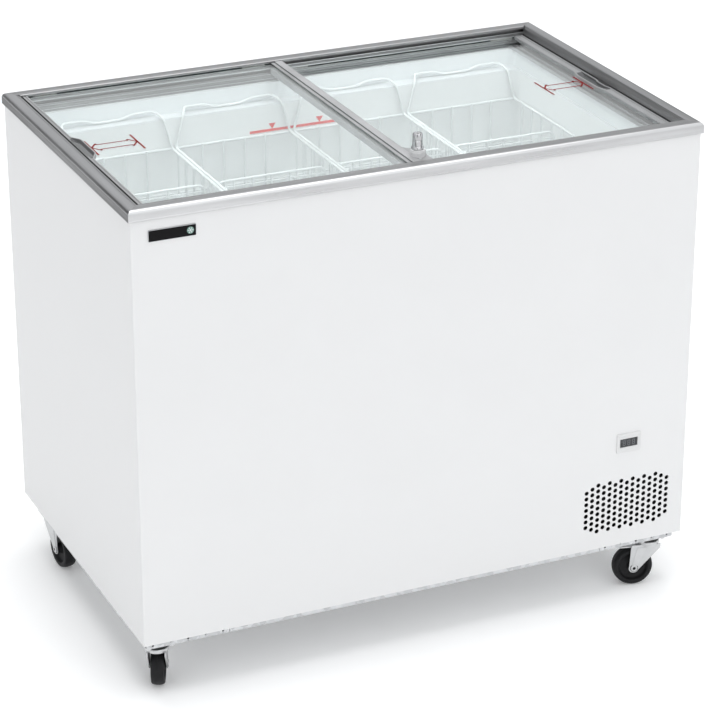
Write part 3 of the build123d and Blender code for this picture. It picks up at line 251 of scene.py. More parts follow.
slot_of = {part["node"]: part["material_slot"] for part in frame["record"]["subparts"]}
for node_name, cad_object in frame["nodes"].items():
    cad_object.data.materials.clear()
    cad_object.data.materials.append(looks[slot_of[node_name]])


# ---------------------------------------------------------------- mesh tools
def place(name, data, body, slot, materials=None, covers=()):
    """Puts a mesh or curve in the scene, riding on a body and standing for the CAD nodes it covers.

    Its material is the slot's own look, unless others are given.
    """
    made = bpy.data.objects.new(name, data)
    bpy.context.scene.collection.objects.link(made)
    for material in materials or [looks[slot]]:
        data.materials.append(material)
    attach(made, body)
    if covers:
        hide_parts(*covers)
    return made


def settle(bm, name, crease=32):
    """Mesh from bm, with outward normals and sharp edges above the crease angle."""
    bmesh.ops.recalc_face_normals(bm, faces=bm.faces)
    mesh = bpy.data.meshes.new(name)
    bm.to_mesh(mesh)
    bm.free()
    mesh.shade_smooth()
    mesh.set_sharp_from_angle(angle=math.radians(crease))
    return mesh


def soften(made, width, segments=2, angle=32):
    """Rounds the hard edges of a piece."""
    bevel = made.modifiers.new("soft_edges", "BEVEL")
    bevel.width = width
    bevel.segments = segments
    bevel.limit_method = "ANGLE"
    bevel.angle_limit = math.radians(angle)
    bevel.harden_normals = True
    return made


def skin(bm, rings, loop=False, slot_index=0):
    """Faces between rings of points; the ends are capped, or joined if loop is set."""
    rows = [[bm.verts.new(point) for point in ring] for ring in rings]
    faces = []
    pairs = list(zip(rows, rows[1:])) + ([(rows[-1], rows[0])] if loop else [])
    for low, high in pairs:
        for i in range(len(low)):
            j = (i + 1) % len(low)
            faces.append(bm.faces.new((low[i], low[j], high[j], high[i])))
    if not loop:
        faces.append(bm.faces.new(rows[0][::-1]))
        faces.append(bm.faces.new(rows[-1]))
    for face in faces:
        face.material_index = slot_index
    return rows


def prism(bm, outline, origin, u, v, sweep, slot_index=0):
    """Outline of (a, b) pairs on the plane of u and v, swept by a vector."""
    base = [origin + u * a + v * b for a, b in outline]
    return skin(bm, [base, [point + sweep for point in base]], slot_index=slot_index)


def block(bm, low, high, slot_index=0):
    """Rectangular bar between two corners."""
    low, high = Vector(low), Vector(high)
    size = high - low
    prism(bm, [(0, 0), (size.x, 0), (size.x, size.y), (0, size.y)], low, X, Y, Z * size.z, slot_index)


def turned(bm, profile, origin, axis, steps=48, loop=False):
    """Solid of revolution from (radius, height) pairs on an axis; loop makes a ring of a closed profile."""
    side = axis.orthogonal().normalized()
    other = axis.cross(side)
    if loop:
        rings = []
        for step in range(steps):
            turn = 2 * math.pi * step / steps
            outward = side * math.cos(turn) + other * math.sin(turn)
            rings.append([origin + outward * radius + axis * height for radius, height in profile])
        return skin(bm, rings, loop=True)
    rings = []
    for radius, height in profile:
        rings.append([
            origin + axis * height + (side * math.cos(2 * math.pi * step / steps)
                                      + other * math.sin(2 * math.pi * step / steps)) * radius
            for step in range(steps)])
    return skin(bm, rings)


def arc(centre, radius, start, end, steps=8):
    """Points (a, b) on an arc, angles in degrees."""
    return [
        (centre[0] + radius * math.cos(math.radians(start + (end - start) * step / steps)),
         centre[1] + radius * math.sin(math.radians(start + (end - start) * step / steps)))
        for step in range(steps + 1)]


def rounded_box(half_a, half_b, radius, steps=5):
    """Outline of a rectangle with rounded corners."""
    points = []
    for sign_a, sign_b, start in ((1, 1, 0), (-1, 1, 90), (-1, -1, 180), (1, -1, 270)):
        centre = (sign_a * (half_a - radius), sign_b * (half_b - radius))
        points += arc(centre, radius, start, start + 90, steps)
    return points


def bent(points, radius, steps=5):
    """Line through the points with rounded corners."""
    points = [Vector(p) for p in points]
    line = [points[0]]
    for before, corner, after in zip(points, points[1:], points[2:]):
        back, ahead = (before - corner), (after - corner)
        reach = min(radius, back.length * 0.48, ahead.length * 0.48)
        start, end = corner + back.normalized() * reach, corner + ahead.normalized() * reach
        for step in range(steps + 1):
            t = step / steps
            line.append(start * (1 - t) ** 2 + corner * 2 * t * (1 - t) + end * t ** 2)
    line.append(points[-1])
    return line


def wire_curve(name, runs, resolution=3):
    """Curve of round wires; each run is (points, radius, closed)."""
    curve = bpy.data.curves.new(name, "CURVE")
    curve.dimensions = "3D"
    curve.bevel_depth = MM
    curve.bevel_resolution = resolution
    curve.use_fill_caps = True
    for points, radius, closed in runs:
        spline = curve.splines.new("POLY")
        spline.points.add(len(points) - 1)
        for slot_point, point in zip(spline.points, points):
            slot_point.co = (*point, 1)
            slot_point.radius = radius / MM
        spline.use_cyclic_u = closed
        spline.use_smooth = True
    return curve


# ---------------------------------------------------------------- aluminium rails
rail_low, rail_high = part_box("front_rail")
half_width = rail_high.x
half_depth = -rail_low.y
rim = rail_high.z
foot = rail_low.z
rail_width = rail_high.y - rail_low.y
skirt_foot = rim - 20 * MM
rail_round = 8 * MM


def rail_section(inner_wall):
    """Section of a rail as (inset, height), from the outer skirt over the top to the foot."""
    crown = [(rail_round - a, rim - rail_round + b)
             for a, b in arc((0, 0), rail_round, 0, 90, 8)]
    top = [(0.0195, rim), (0.0199, rim - 0.0005), (0.0203, rim)]
    skirt = [
        (0.006, foot), (0.006, rim - 0.009), (0.002, rim - 0.009), (0.002, skirt_foot), (0.0006, skirt_foot),
        (0, skirt_foot + 0.0006), (0, skirt_foot + 0.0032), (0.0004, skirt_foot + 0.0036),
        (0, skirt_foot + 0.004)]
    return skirt + crown + top + inner_wall


def mitred(bm, section, corner, inward, along, length):
    """One rail between two mitred corners."""
    start = [corner + inward * inset + along * inset + Z * height for inset, height in section]
    end = [corner + inward * inset + along * (length - inset) + Z * height for inset, height in section]
    skin(bm, [start, end])


def wall_groove(depth):
    """Fine groove in the inner wall, that far below the rim."""
    middle = rim - depth
    return [(rail_width, middle + 0.0006), (rail_width - 0.0012, middle + 0.0004),
            (rail_width - 0.0012, middle - 0.0004), (rail_width, middle - 0.0006)]


def slotted_wall():
    """Inner wall of the front and rear rails: two running slots, and grooves between and below them."""
    wall = [(rail_width - 0.0012, rim), (rail_width, rim - 0.0012)]
    slot_back = rail_width - 0.012
    for bottom, top in ((0.011, 0.005), (0.025, 0.019)):
        wall += [(rail_width, rim - top), (slot_back, rim - top), (slot_back, rim - bottom),
                 (rail_width, rim - bottom)]
        wall += wall_groove(bottom + 0.0022) + wall_groove(bottom + 0.0048)
    return wall + wall_groove(0.035) + wall_groove(0.038) + [(rail_width, foot)]


def curved_wall(lip, drop):
    """Inner wall of a side rail: a lower facet, then a hollow sweep down to the lid."""
    facet = [(0.0225, rim - 0.0008), (rail_width - lip, rim - 0.0016)]
    sweep = [(rail_width - lip * (1 - math.sin(math.radians(turn))),
              rim - 0.0016 - drop * (1 - math.cos(math.radians(turn))))
             for turn in range(15, 91, 15)]
    return facet + sweep + [(rail_width, foot)]


highlight_bands = (0.0118, 0.0175, 0.0285, 0.0365)
rail_looks = {"front_rail": [front_rail_lit_tone, brushed_top], "rear_rail": [rear_rail_shaded_tone, rear_band_highlight_tone],
              "left_rail": [side_rail_shaded_tone, side_skirt_shaded_tone], "right_rail": [side_rail_shaded_tone, side_skirt_shaded_tone]}
for rail, corner, inward, along, length in (
    ("front_rail", Vector((-half_width, -half_depth, 0)), Y, X, 2 * half_width),
    ("rear_rail", Vector((half_width, half_depth, 0)), -Y, -X, 2 * half_width),
    ("left_rail", Vector((-half_width, -half_depth, 0)), X, Y, 2 * half_depth),
    ("right_rail", Vector((half_width, -half_depth, 0)), -X, Y, 2 * half_depth),
):
    bm = bmesh.new()
    if rail in ("front_rail", "rear_rail"):
        wall = slotted_wall()
    elif rail == "left_rail":
        wall = curved_wall(0.0022, 0.003)
    else:
        wall = curved_wall(0.0055, 0.013)
    mitred(bm, rail_section(wall), corner, inward, along, length)
    # Each face takes its rail's lit or shaded tone: side skirts and the front rail's top get painted shade,
    # and the rear wall's bands a painted highlight
    for face in bm.faces:
        middle = face.calc_center_median()
        if rail in ("left_rail", "right_rail"):
            face.material_index = int(abs(middle.x) > half_width - 0.3 * MM)
        elif rail == "front_rail":
            face.material_index = int(middle.z > rim - 0.4 * MM)
        elif abs(half_depth - rail_width - middle.y) < 0.1 * MM:
            below = rim - middle.z
            face.material_index = int(any(abs(below - band) < 0.5 * MM for band in highlight_bands))
    if rail in ("left_rail", "right_rail"):
        low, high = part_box(rail)
        inner = low.x if rail == "right_rail" else high.x
        wall_x = (half_width - rail_width) * (1 if rail == "right_rail" else -1)
        reach = inner - wall_x
        inner_y = half_depth - rail_width
        flange = [(0, foot), (reach, foot), (reach, foot + 0.007), (reach * 0.94, foot + 0.007),
                  (reach * 0.94, foot + 0.004), (reach * 0.58, foot + 0.004), (reach * 0.58, foot + 0.0065),
                  (reach * 0.52, foot + 0.0065), (reach * 0.52, foot + 0.004), (0, foot + 0.004)]
        prism(bm, flange, Vector((wall_x, -inner_y, 0)), X, Z, Y * 2 * inner_y)
    made = place(rail + "_profile", settle(bm, rail + "_profile", 24), "cabinet", "aluminium",
                 rail_looks[rail], [rail])
    soften(made, 0.25 * MM, 2, 50)


# ---------------------------------------------------------------- lids: panes, trims and bars
def pane(node, body):
    """Ground-edged pane: clear faces, and a green edge all round."""
    low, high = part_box(node)
    half_x, half_y = (high.x - low.x) / 2, (high.y - low.y) / 2
    middle = (low + high) / 2
    ground = 0.7 * MM
    bm = bmesh.new()
    rings = [
        [Vector((middle.x + a, middle.y + b, height))
         for a, b in rounded_box(half_x - inset, half_y - inset, 3 * MM)]
        for inset, height in ((ground, low.z), (0, low.z + ground), (0, high.z - ground), (ground, high.z))]
    skin(bm, rings, slot_index=1)
    for face in bm.faces:
        if len(face.verts) > 4:
            face.material_index = 0
    mesh = settle(bm, node + "_pane", 20)
    return place(node + "_pane", mesh, body, "lid_glass", [looks["lid_glass"], glass_edge], [node])


pane("left_lid_glass", "left_lid")
pane("right_lid_glass", "right_lid")


def swell(t):
    """Smooth rise from 0 at t = 0 to 1 at t = 1."""
    t = max(0.0, min(1.0, t))
    return t * t * (3 - 2 * t)


def end_trim(node, body, side, rise):
    """Grey end profile whose section swells into a dished finger tab at the middle."""
    low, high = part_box(node)
    outer = max(abs(low.x), abs(high.x))
    bottom = low.z
    top = high.z - rise
    half_y = high.y
    pull_half = 62 * MM
    strip = 9.5 * MM if side < 0 else 17 * MM
    reach = 11 * MM if side < 0 else 7 * MM
    dish = 2.4 * MM
    bm = bmesh.new()
    stations = [-half_y, -pull_half - 12 * MM]
    stations += [pull_half * (step / 24) for step in range(-24, 25)]
    stations += [pull_half + 12 * MM, half_y]
    rings = []
    for y in stations:
        tab = swell((pull_half - abs(y)) / (30 * MM))
        hollow = swell((pull_half - 8 * MM - abs(y)) / (16 * MM))
        edge = strip + reach * tab
        wall_inset = 3.2 * MM * swell((26 * MM - abs(y + 24 * MM)) / (14 * MM)) if side > 0 else 0.0
        floor_z = top - 0.0012 - dish * hollow
        lip = (1 - 0.6 * tab) * MM if side < 0 else MM
        section = [
            (wall_inset, bottom), (wall_inset, top - 0.0008), (wall_inset + 0.8 * lip, top),
            (wall_inset + 2.6 * lip, top), (wall_inset + 3.0 * lip, top - 0.0008),
            (wall_inset + 3.6 * lip, top - 0.0002), (wall_inset + 4.2 * lip, top),
            (wall_inset + 5.0 * lip, floor_z), (edge - 0.0040 - 0.002 * tab, floor_z),
            (edge - 0.0030, top + rise * tab * 0.8), (edge - 0.0010, top + rise * tab),
            (edge, top + rise * tab - 0.0012), (edge, bottom + 0.001), (edge - 0.001, bottom)]
        rings.append([Vector((side * (outer - inset), y, height)) for inset, height in section])
    rows = skin(bm, rings)
    # The dish's slopes and floor get the dark grey: painted shade
    for first, second in zip(rows, rows[1:]):
        middle_y = abs(first[0].co.y + second[0].co.y) / 2
        if middle_y > pull_half - 9 * MM:
            continue
        for index in (6, 7, 8):
            corners = {first[index], first[index + 1], second[index], second[index + 1]}
            for face in first[index].link_faces:
                if set(face.verts) == corners:
                    face.material_index = 1
    made = place(node + "_profile", settle(bm, node, 28), body, "lid_trim", [looks["lid_trim"], dish_painted_shade],
                 [node])
    return soften(made, 0.2 * MM, 2, 60)


end_trim("left_lid_end_trim", "left_lid", -1, 1.5 * MM)
end_trim("right_lid_end_trim", "right_lid", 1, 1.0 * MM)

# Black lips on the side rails beside the closed lids: partly a seal, partly painted shadow of the gap between
# rail and trim, seen as a dark line
for side, trim_node in ((-1, "left_lid_end_trim"), (1, "right_lid_end_trim")):
    low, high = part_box(trim_node)
    outer = max(abs(low.x), abs(high.x)) + 0.25 * MM
    wall = half_width - rail_width
    bm = bmesh.new()
    rings = []
    for step in range(61):
        y = high.y * (step / 30 - 1)
        swelling = 3.0 * MM * swell((26 * MM - abs(y + 24 * MM)) / (14 * MM)) if side > 0 else 0.0
        rings.append([Vector((side * x, y, z)) for x, z in (
            (wall + 0.2 * MM, high.z - 3.0 * MM), (outer - swelling, high.z - 3.0 * MM),
            (outer - swelling, high.z - 1.2 * MM), (outer + 0.5 * MM, high.z + 0.2 * MM),
            (wall + 0.2 * MM, high.z + 0.4 * MM))])
    skin(bm, rings)
    place("left_seal_lip" if side < 0 else "right_seal_lip", settle(bm, "seal_lip_and_gap_shade"), "cabinet",
          "black_seal")

bar_low, bar_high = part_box("centre_bar")
barrel_low, barrel_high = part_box("lock_barrel")
lock_x, lock_y = (barrel_low.x + barrel_high.x) / 2, (barrel_low.y + barrel_high.y) / 2
plate_low, plate_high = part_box("lock_plate")
plate_foot = plate_low.z
plate_face = plate_foot + 3 * MM
boss_radius = 12.5 * MM

# The bar's section: a low strip over the glass edge, the dark groove, then the wide flat
bm = bmesh.new()
step_top = bar_high.z - 2 * MM
groove = bar_low.x + 6 * MM
flat_end = bar_high.x
prism(bm, [
    (bar_low.x, bar_low.z + 9 * MM), (bar_low.x, step_top - 0.0006), (bar_low.x + 0.0006, step_top),
    (bar_low.x + 0.0026, step_top), (bar_low.x + 0.0030, step_top - 0.0006), (bar_low.x + 0.0034, step_top),
    (groove - 0.0007, step_top), (groove - 0.0007, step_top - 0.0022), (groove + 0.0007, step_top - 0.0022),
    (groove + 0.0007, bar_high.z - 0.0005), (groove + 0.0012, bar_high.z), (flat_end - 0.0009, bar_high.z),
    (flat_end - 0.0003, bar_high.z - 0.0003), (flat_end, bar_high.z - 0.0009), (flat_end, bar_low.z),
    (groove - 0.001, bar_low.z), (groove - 0.001, bar_low.z + 9 * MM)],
    Vector((0, bar_low.y, 0)), X, Z, Y * (bar_high.y - bar_low.y))
place("centre_bar_profile", settle(bm, "centre_bar", 28), "left_lid", "lid_trim", covers=["centre_bar"])

bar_low, bar_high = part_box("right_lid_bar")
bm = bmesh.new()
prism(bm, [
    (bar_low.x, bar_low.z), (bar_low.x, bar_high.z - 0.001), (bar_low.x + 0.001, bar_high.z),
    (bar_low.x + 0.006, bar_high.z), (bar_low.x + 0.0065, bar_high.z - 0.0007),
    (bar_low.x + 0.007, bar_high.z),
    (bar_high.x - 0.001, bar_high.z), (bar_high.x, bar_high.z - 0.001), (bar_high.x, bar_low.z)],
    Vector((0, bar_low.y, 0)), X, Z, Y * (bar_high.y - bar_low.y))
place("right_lid_bar_profile", settle(bm, "right_lid_bar", 28), "right_lid", "lid_trim",
      covers=["right_lid_bar"])


# ---------------------------------------------------------------- lid lock
def plate_outline():
    """Gusset between the bar and the front: a hollow sweep out of the bar, then round the boss."""
    bar_edge = flat_end - 0.5 * MM
    right = plate_high.x
    start = Vector((bar_edge, plate_high.y))
    bend = Vector((bar_edge + 4 * MM, plate_high.y - 14 * MM))
    end = Vector((lock_x + 5 * MM, plate_high.y - 17 * MM))
    sweep = []
    for step in range(9):
        t = step / 8
        sweep.append(tuple(start * (1 - t) ** 2 + bend * 2 * t * (1 - t) + end * t * t))
    corner = arc((right - 9 * MM, plate_high.y - 32 * MM), 9 * MM, 55, 0, 5)
    return sweep + corner + [(right, plate_low.y), (bar_edge, plate_low.y)]


bm = bmesh.new()
prism(bm, plate_outline(), Vector((0, 0, plate_foot)), X, Y, Z * (plate_face - plate_foot))
plate = place("lock_gusset", settle(bm, "lock_gusset", 30), "left_lid", "lid_trim", covers=["lock_plate"])
soften(plate, 0.5 * MM, 3, 50)

bm = bmesh.new()
turned(bm, [
    (8 * MM, plate_foot), (boss_radius, plate_foot), (boss_radius, plate_high.z - 4 * MM),
    (boss_radius - 0.8 * MM, plate_high.z - 3 * MM), (boss_radius - 0.8 * MM, plate_high.z - 1 * MM),
    (boss_radius - 1.8 * MM, plate_high.z), (8 * MM, plate_high.z)],
    Vector((lock_x, lock_y, 0)), Z, 40, loop=True)
block(bm, (lock_x + boss_radius - 2 * MM, lock_y - 3.5 * MM, plate_face - 0.5 * MM),
      (lock_x + boss_radius + 1.6 * MM, lock_y + 3.5 * MM, plate_high.z - 2.5 * MM))
boss = place("lock_boss", settle(bm, "lock_boss", 30), "left_lid", "lid_trim", [lock_boss_painted_light])
soften(boss, 0.4 * MM, 3, 50)

bm = bmesh.new()
for spot_x, spot_y in ((-1.5, -14.5), (15.0, 6.0)):
    turned(bm, [(radius * MM, plate_face + up * MM) for radius, up in (
        (2.4, 0.0), (2.4, 0.7), (1.6, 1.2), (0.7, 1.2), (0.7, 0.6))],
           Vector((lock_x + spot_x * MM, lock_y + spot_y * MM, 0)), Z, 20)
place("lock_rivets", settle(bm, "lock_rivets"), "left_lid", "zinc")

bore = 5.05 * MM
boss_top = plate_high.z
bm = bmesh.new()
collar = [(r * MM, boss_top + up * MM) for r, up in (
    (7.9, 0.0), (10.6, 0.0), (10.6, 3.6), (10.1, 4.6), (9.6, 5.0), (9.5, 7.0), (9.1, 7.6), (8.9, 15),
    (8.5, 15.4), (8.5, 16.6), (8.8, 17))]
nose = [(r * MM, barrel_high.z - down * MM) for r, down in (
    (8.5, 2.0), (8.0, 0.6), (7.3, 0.0), (5.9, 0.0), (5.5, 0.5), (5.05, 0.6))]
turned(bm, [(bore, barrel_low.z), (7.9 * MM, barrel_low.z)] + collar + nose,
       Vector((lock_x, lock_y, 0)), Z, 64, loop=True)
place("lock_barrel_chrome", settle(bm, "lock_barrel", 30), "left_lid", "chrome", covers=["lock_barrel"])


# ---------------------------------------------------------------- printed marks
def ribbon(bm, start, end, width, thickness, up):
    """Thin printed stroke between two points, lying on the plane whose normal is up."""
    ahead = (end - start).normalized()
    across = up.cross(ahead) * width / 2
    base = [start - across, end - across, end + across, start + across]
    skin(bm, [base, [point + up * thickness for point in base]])


def arrow_mark(name, body, node, from_x, to_x, middle_y):
    """Outlined double-headed arrow between two bars, printed on a pane."""
    print_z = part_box(node)[1].z + 0.02 * MM
    bm = bmesh.new()
    bar_half, shaft, barb, neck = 38 * MM, 12 * MM, 18 * MM, 12 * MM

    def line(from_spot, to_spot, width):
        ribbon(bm, Vector((*from_spot, print_z)), Vector((*to_spot, print_z)), width, 0.1 * MM, Z)

    for x in (from_x, to_x):
        line((x, middle_y - bar_half), (x, middle_y + bar_half), 3.4 * MM)
    for end, other in ((from_x, to_x), (to_x, from_x)):
        way = 1 if other > end else -1
        tip = end + way * MM
        for side in (-1, 1):
            barb_end = (tip + way * neck, middle_y + side * barb)
            shaft_end = (tip + way * neck, middle_y + side * shaft)
            line((tip, middle_y), barb_end, 3.2 * MM)
            line(barb_end, shaft_end, 3.2 * MM)
            line(shaft_end, ((from_x + to_x) / 2, middle_y + side * shaft), 3.2 * MM)
    place(name, settle(bm, name), body, "badge_black", [red_print])


arrow_mark("left_slide_mark", "left_lid", "left_lid_glass", -0.4725, -0.390, -1 * MM)
arrow_mark("right_slide_mark", "right_lid", "right_lid_glass", 0.389, 0.468, 4 * MM)

# Load limit on the liner's rear wall: a red line, and two triangles that point down at it
bm = bmesh.new()
mark_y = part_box("inner_liner")[1].y - 1.22 * MM
mark_z = 0.772
load_from, load_to = -0.078, 0.100
ribbon(bm, Vector((load_from, mark_y, mark_z)), Vector((load_to, mark_y, mark_z)), 5.0 * MM, 0.15 * MM, -Y)
for share in (0.25, 0.78):
    middle = load_from + (load_to - load_from) * share
    prism(bm, [(middle - 7 * MM, mark_z + 13 * MM), (middle + 7 * MM, mark_z + 13 * MM),
               (middle, mark_z + 2 * MM)],
          Vector((0, mark_y, 0)), X, Z, -Y * 0.15 * MM)
place("load_limit_mark", settle(bm, "load_limit_mark"), "cabinet", "liner_white", [load_red])


# ---------------------------------------------------------------- front fittings
def face_plate(name, node, radius, layers, body, slot, material, covers):
    """Plate on the front: layers are (inset, forward share) pairs of its rounded outline."""
    low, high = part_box(node)
    half_x, half_z = (high.x - low.x) / 2, (high.z - low.z) / 2
    middle = (low + high) / 2
    bm = bmesh.new()
    rings = [
        [Vector((middle.x + a, high.y + (low.y - high.y) * share, middle.z + b))
         for a, b in rounded_box(half_x - inset, half_z - inset, max(radius - inset, 0.1 * MM))]
        for inset, share in layers]
    skin(bm, rings)
    return place(name, settle(bm, name, 28), body, slot, [material], covers)


# Casing sheet with its vent holes opened to their seen size
cad_casing = frame["nodes"]["outer_casing"]
casing_mesh = cad_casing.data.copy()
casing_mesh.materials.clear()
to_world = cad_casing.matrix_world.copy()
to_local = to_world.inverted()
vent_columns = (7, 8, 9, 8, 9, 8, 9, 8, 9, 8, 9, 8, 9, 8, 7)
vent_x, vent_z = 0.405, 0.1885
vent_pitch_x, vent_pitch_z = 11.7 * MM, 11.5 * MM
seen_vent_radius = 4.15 * MM
vent_centres = [
    (vent_x + (column - 7) * vent_pitch_x, vent_z + (row - (count - 1) / 2) * vent_pitch_z)
    for column, count in enumerate(vent_columns) for row in range(count)]
for vertex in casing_mesh.vertices:
    spot = to_world @ vertex.co
    if spot.y > -0.31 or abs(spot.x - vent_x) > 0.09 or abs(spot.z - vent_z) > 0.06:
        continue
    for centre_x, centre_z in vent_centres:
        out_x, out_z = spot.x - centre_x, spot.z - centre_z
        reach = math.hypot(out_x, out_z)
        if 0 < reach < 3.8 * MM:
            wider = seen_vent_radius / reach
            vertex.co = to_local @ Vector((centre_x + out_x * wider, spot.y, centre_z + out_z * wider))
            break
skin_object = place("casing_sheet", casing_mesh, "cabinet", "painted_white", covers=["outer_casing"])
skin_object.matrix_world = to_world

badge_low, badge_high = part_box("badge")
face_plate("badge_plate", "badge", 1.5 * MM, [(0, 0), (0, 0.6), (0.3 * MM, 0.9), (0.7 * MM, 1.0)],
           "cabinet", "badge_black", looks["badge_black"], ["badge"])

bm = bmesh.new()
badge_middle = (badge_low + badge_high) / 2
badge_half = (badge_high - badge_low) / 2
border = 0.5 * MM
outer_line = rounded_box(badge_half.x, badge_half.z, 1.5 * MM)
inner_line = rounded_box(badge_half.x - border, badge_half.z - border, 1.0 * MM)
rings = []
face_y = badge_low.y
sunk_y, proud_y = face_y + 0.2 * MM, face_y - 0.12 * MM
for (a, b), (c, d) in zip(outer_line, inner_line):
    rings.append([Vector((badge_middle.x + p, y, badge_middle.z + q)) for p, q, y in (
        (a, b, sunk_y), (a, b, proud_y), (c, d, proud_y), (c, d, sunk_y))])
skin(bm, rings, loop=True)
snow_x, snow_z, snow_reach = badge_middle.x + 31 * MM, badge_middle.z, 5.2 * MM
for arm in range(6):
    turn = math.radians(60 * arm)
    ahead = X * math.cos(turn) + Z * math.sin(turn)
    aside = X * -math.sin(turn) + Z * math.cos(turn)
    centre = Vector((snow_x, proud_y, snow_z))
    ribbon(bm, centre, centre + ahead * snow_reach, 0.8 * MM, 0.12 * MM, -Y)
    fork_point = centre + ahead * snow_reach * 0.6
    for lean in (-1, 1):
        twig = (ahead * 0.7 + aside * lean * 0.7) * snow_reach * 0.34
        ribbon(bm, fork_point, fork_point + twig, 0.6 * MM, 0.12 * MM, -Y)
place("badge_border_and_flake", settle(bm, "badge_border"), "cabinet", "badge_black", [silver_print])

bm = bmesh.new()
turned(bm, [(0.0, face_y + 0.1 * MM), (6.0 * MM, face_y + 0.1 * MM), (6.0 * MM, face_y - 0.06 * MM),
            (5.6 * MM, face_y - 0.1 * MM), (0.0, face_y - 0.1 * MM)], Vector((snow_x, 0, snow_z)), Y, 32)
place("badge_disc", settle(bm, "badge_disc"), "cabinet", "badge_black", [disc_green])

# Display: bezel with a stepped frame round the sunk window, and unlit seven-segment figures
bezel_low, bezel_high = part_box("display_bezel")
window_low, window_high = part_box("display_window")
bezel_middle = (bezel_low + bezel_high) / 2
panel_y = window_high.y
bezel_half = (bezel_high - bezel_low) / 2
window_half = (window_high - window_low) / 2
bm = bmesh.new()
frame_lines = [
    (bezel_half.x, bezel_half.z, 3.0, 0.0), (bezel_half.x, bezel_half.z, 3.0, 1.4),
    (bezel_half.x - 0.4 * MM, bezel_half.z - 0.4 * MM, 2.7, 2.1),
    (bezel_half.x - 1.0 * MM, bezel_half.z - 1.0 * MM, 2.4, 2.45),
    (window_half.x + 4.2 * MM, window_half.z + 5.2 * MM, 1.6, 2.45),
    (window_half.x + 3.8 * MM, window_half.z + 4.8 * MM, 1.4, 2.0),
    (window_half.x + 3.0 * MM, window_half.z + 4.0 * MM, 1.2, 2.0),
    (window_half.x + 2.6 * MM, window_half.z + 3.6 * MM, 1.0, 2.3),
    (window_half.x + 0.9 * MM, window_half.z + 0.9 * MM, 0.8, 2.3),
    (window_half.x + 0.1 * MM, window_half.z + 0.1 * MM, 0.5, 1.2),
    (window_half.x, window_half.z, 0.4, 0.0)]
outlines = [
    [Vector((bezel_middle.x + a, panel_y - forward * MM, bezel_middle.z + b))
     for a, b in rounded_box(half_a, half_b, radius * MM)]
    for half_a, half_b, radius, forward in frame_lines]
skin(bm, [list(ring) for ring in zip(*outlines)], loop=True)
place("display_frame", settle(bm, "display_frame", 26), "cabinet", "white_plastic",
      covers=["display_bezel"])

SEGMENTS = ("horizontal top", "left upper", "right upper", "horizontal middle", "left lower", "right lower",
            "horizontal bottom")
bm = bmesh.new()
digit_w, digit_h, stroke, gap = 5.6 * MM, 10.4 * MM, 1.1 * MM, 0.35 * MM
for digit in range(3):
    middle_x = bezel_middle.x + (digit - 1) * 9.4 * MM
    for segment in SEGMENTS:
        if segment.startswith("horizontal"):
            level = {"top": 1, "middle": 0, "bottom": -1}[segment.split()[1]]
            half_a, half_b = digit_w / 2 - gap - stroke / 2, stroke / 2
            spot = (middle_x, bezel_middle.z + level * (digit_h / 2 - stroke / 2))
        else:
            side_name, level_name = segment.split()
            half_a, half_b = stroke / 2, digit_h / 4 - gap - stroke / 2
            spot = (middle_x + (digit_w / 2 - stroke / 2) * (1 if side_name == "right" else -1),
                    bezel_middle.z + (digit_h / 4 - stroke / 4) * (1 if level_name == "upper" else -1))
        prism(bm, [(-half_a, -half_b), (half_a, -half_b), (half_a, half_b), (-half_a, half_b)],
              Vector((spot[0], window_low.y, spot[1])), X, Z, -Y * 0.06 * MM)
place("display_figures", settle(bm, "display_figures"), "cabinet", "display_dark", [segment_grey])


# ---------------------------------------------------------------- base brackets
def flange_outline(half_length, height):
    """Front or rear flange of a bracket channel: three deep notches, and small ones half way between them."""
    top = [(half_length, height)]
    for middle in (64, 32, 0, -32, -64):
        depth, width = (6.6, 4.4) if middle % 64 == 0 else (2.4, 3.0)
        foot = height - min(depth * MM, height - 0.9 * MM)
        top += [((middle + width / 2) * MM, height), ((middle + width * 0.25) * MM, foot),
                ((middle - width * 0.25) * MM, foot), ((middle - width / 2) * MM, height)]
    return [(-half_length, 0), (half_length, 0)] + top + [(-half_length, height)]


bracket_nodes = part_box("caster_brackets")
plates_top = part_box("caster_top_plates")[1].z
bracket_z, bracket_top = bracket_nodes[0].z, bracket_nodes[1].z
bracket_half_x, bracket_half_y = 75 * MM, 42 * MM
sheet = 2 * MM
bracket_spots = [
    (bracket_nodes[0].x + bracket_half_x, bracket_nodes[0].y + bracket_half_y),
    (bracket_nodes[1].x - bracket_half_x, bracket_nodes[0].y + bracket_half_y),
    (bracket_nodes[0].x + bracket_half_x, bracket_nodes[1].y - bracket_half_y),
    (bracket_nodes[1].x - bracket_half_x, bracket_nodes[1].y - bracket_half_y)]
bm = bmesh.new()
for spot_x, spot_y in bracket_spots:
    block(bm, (spot_x - bracket_half_x, spot_y - bracket_half_y + 0.2 * MM, bracket_z),
          (spot_x + bracket_half_x, spot_y + bracket_half_y - 0.2 * MM, bracket_z + sheet))
    for side in (-1, 1):
        outer_y = spot_y + side * bracket_half_y
        prism(bm, flange_outline(bracket_half_x, bracket_top - bracket_z + 0.1 * MM),
              Vector((spot_x, outer_y, bracket_z - 1.5 * MM)), X, Z, -Y * side * sheet)
brackets = place("notched_brackets", settle(bm, "notched_brackets"), "cabinet", "galvanised",
                 covers=["caster_brackets"])
soften(brackets, 0.3 * MM, 2, 50)


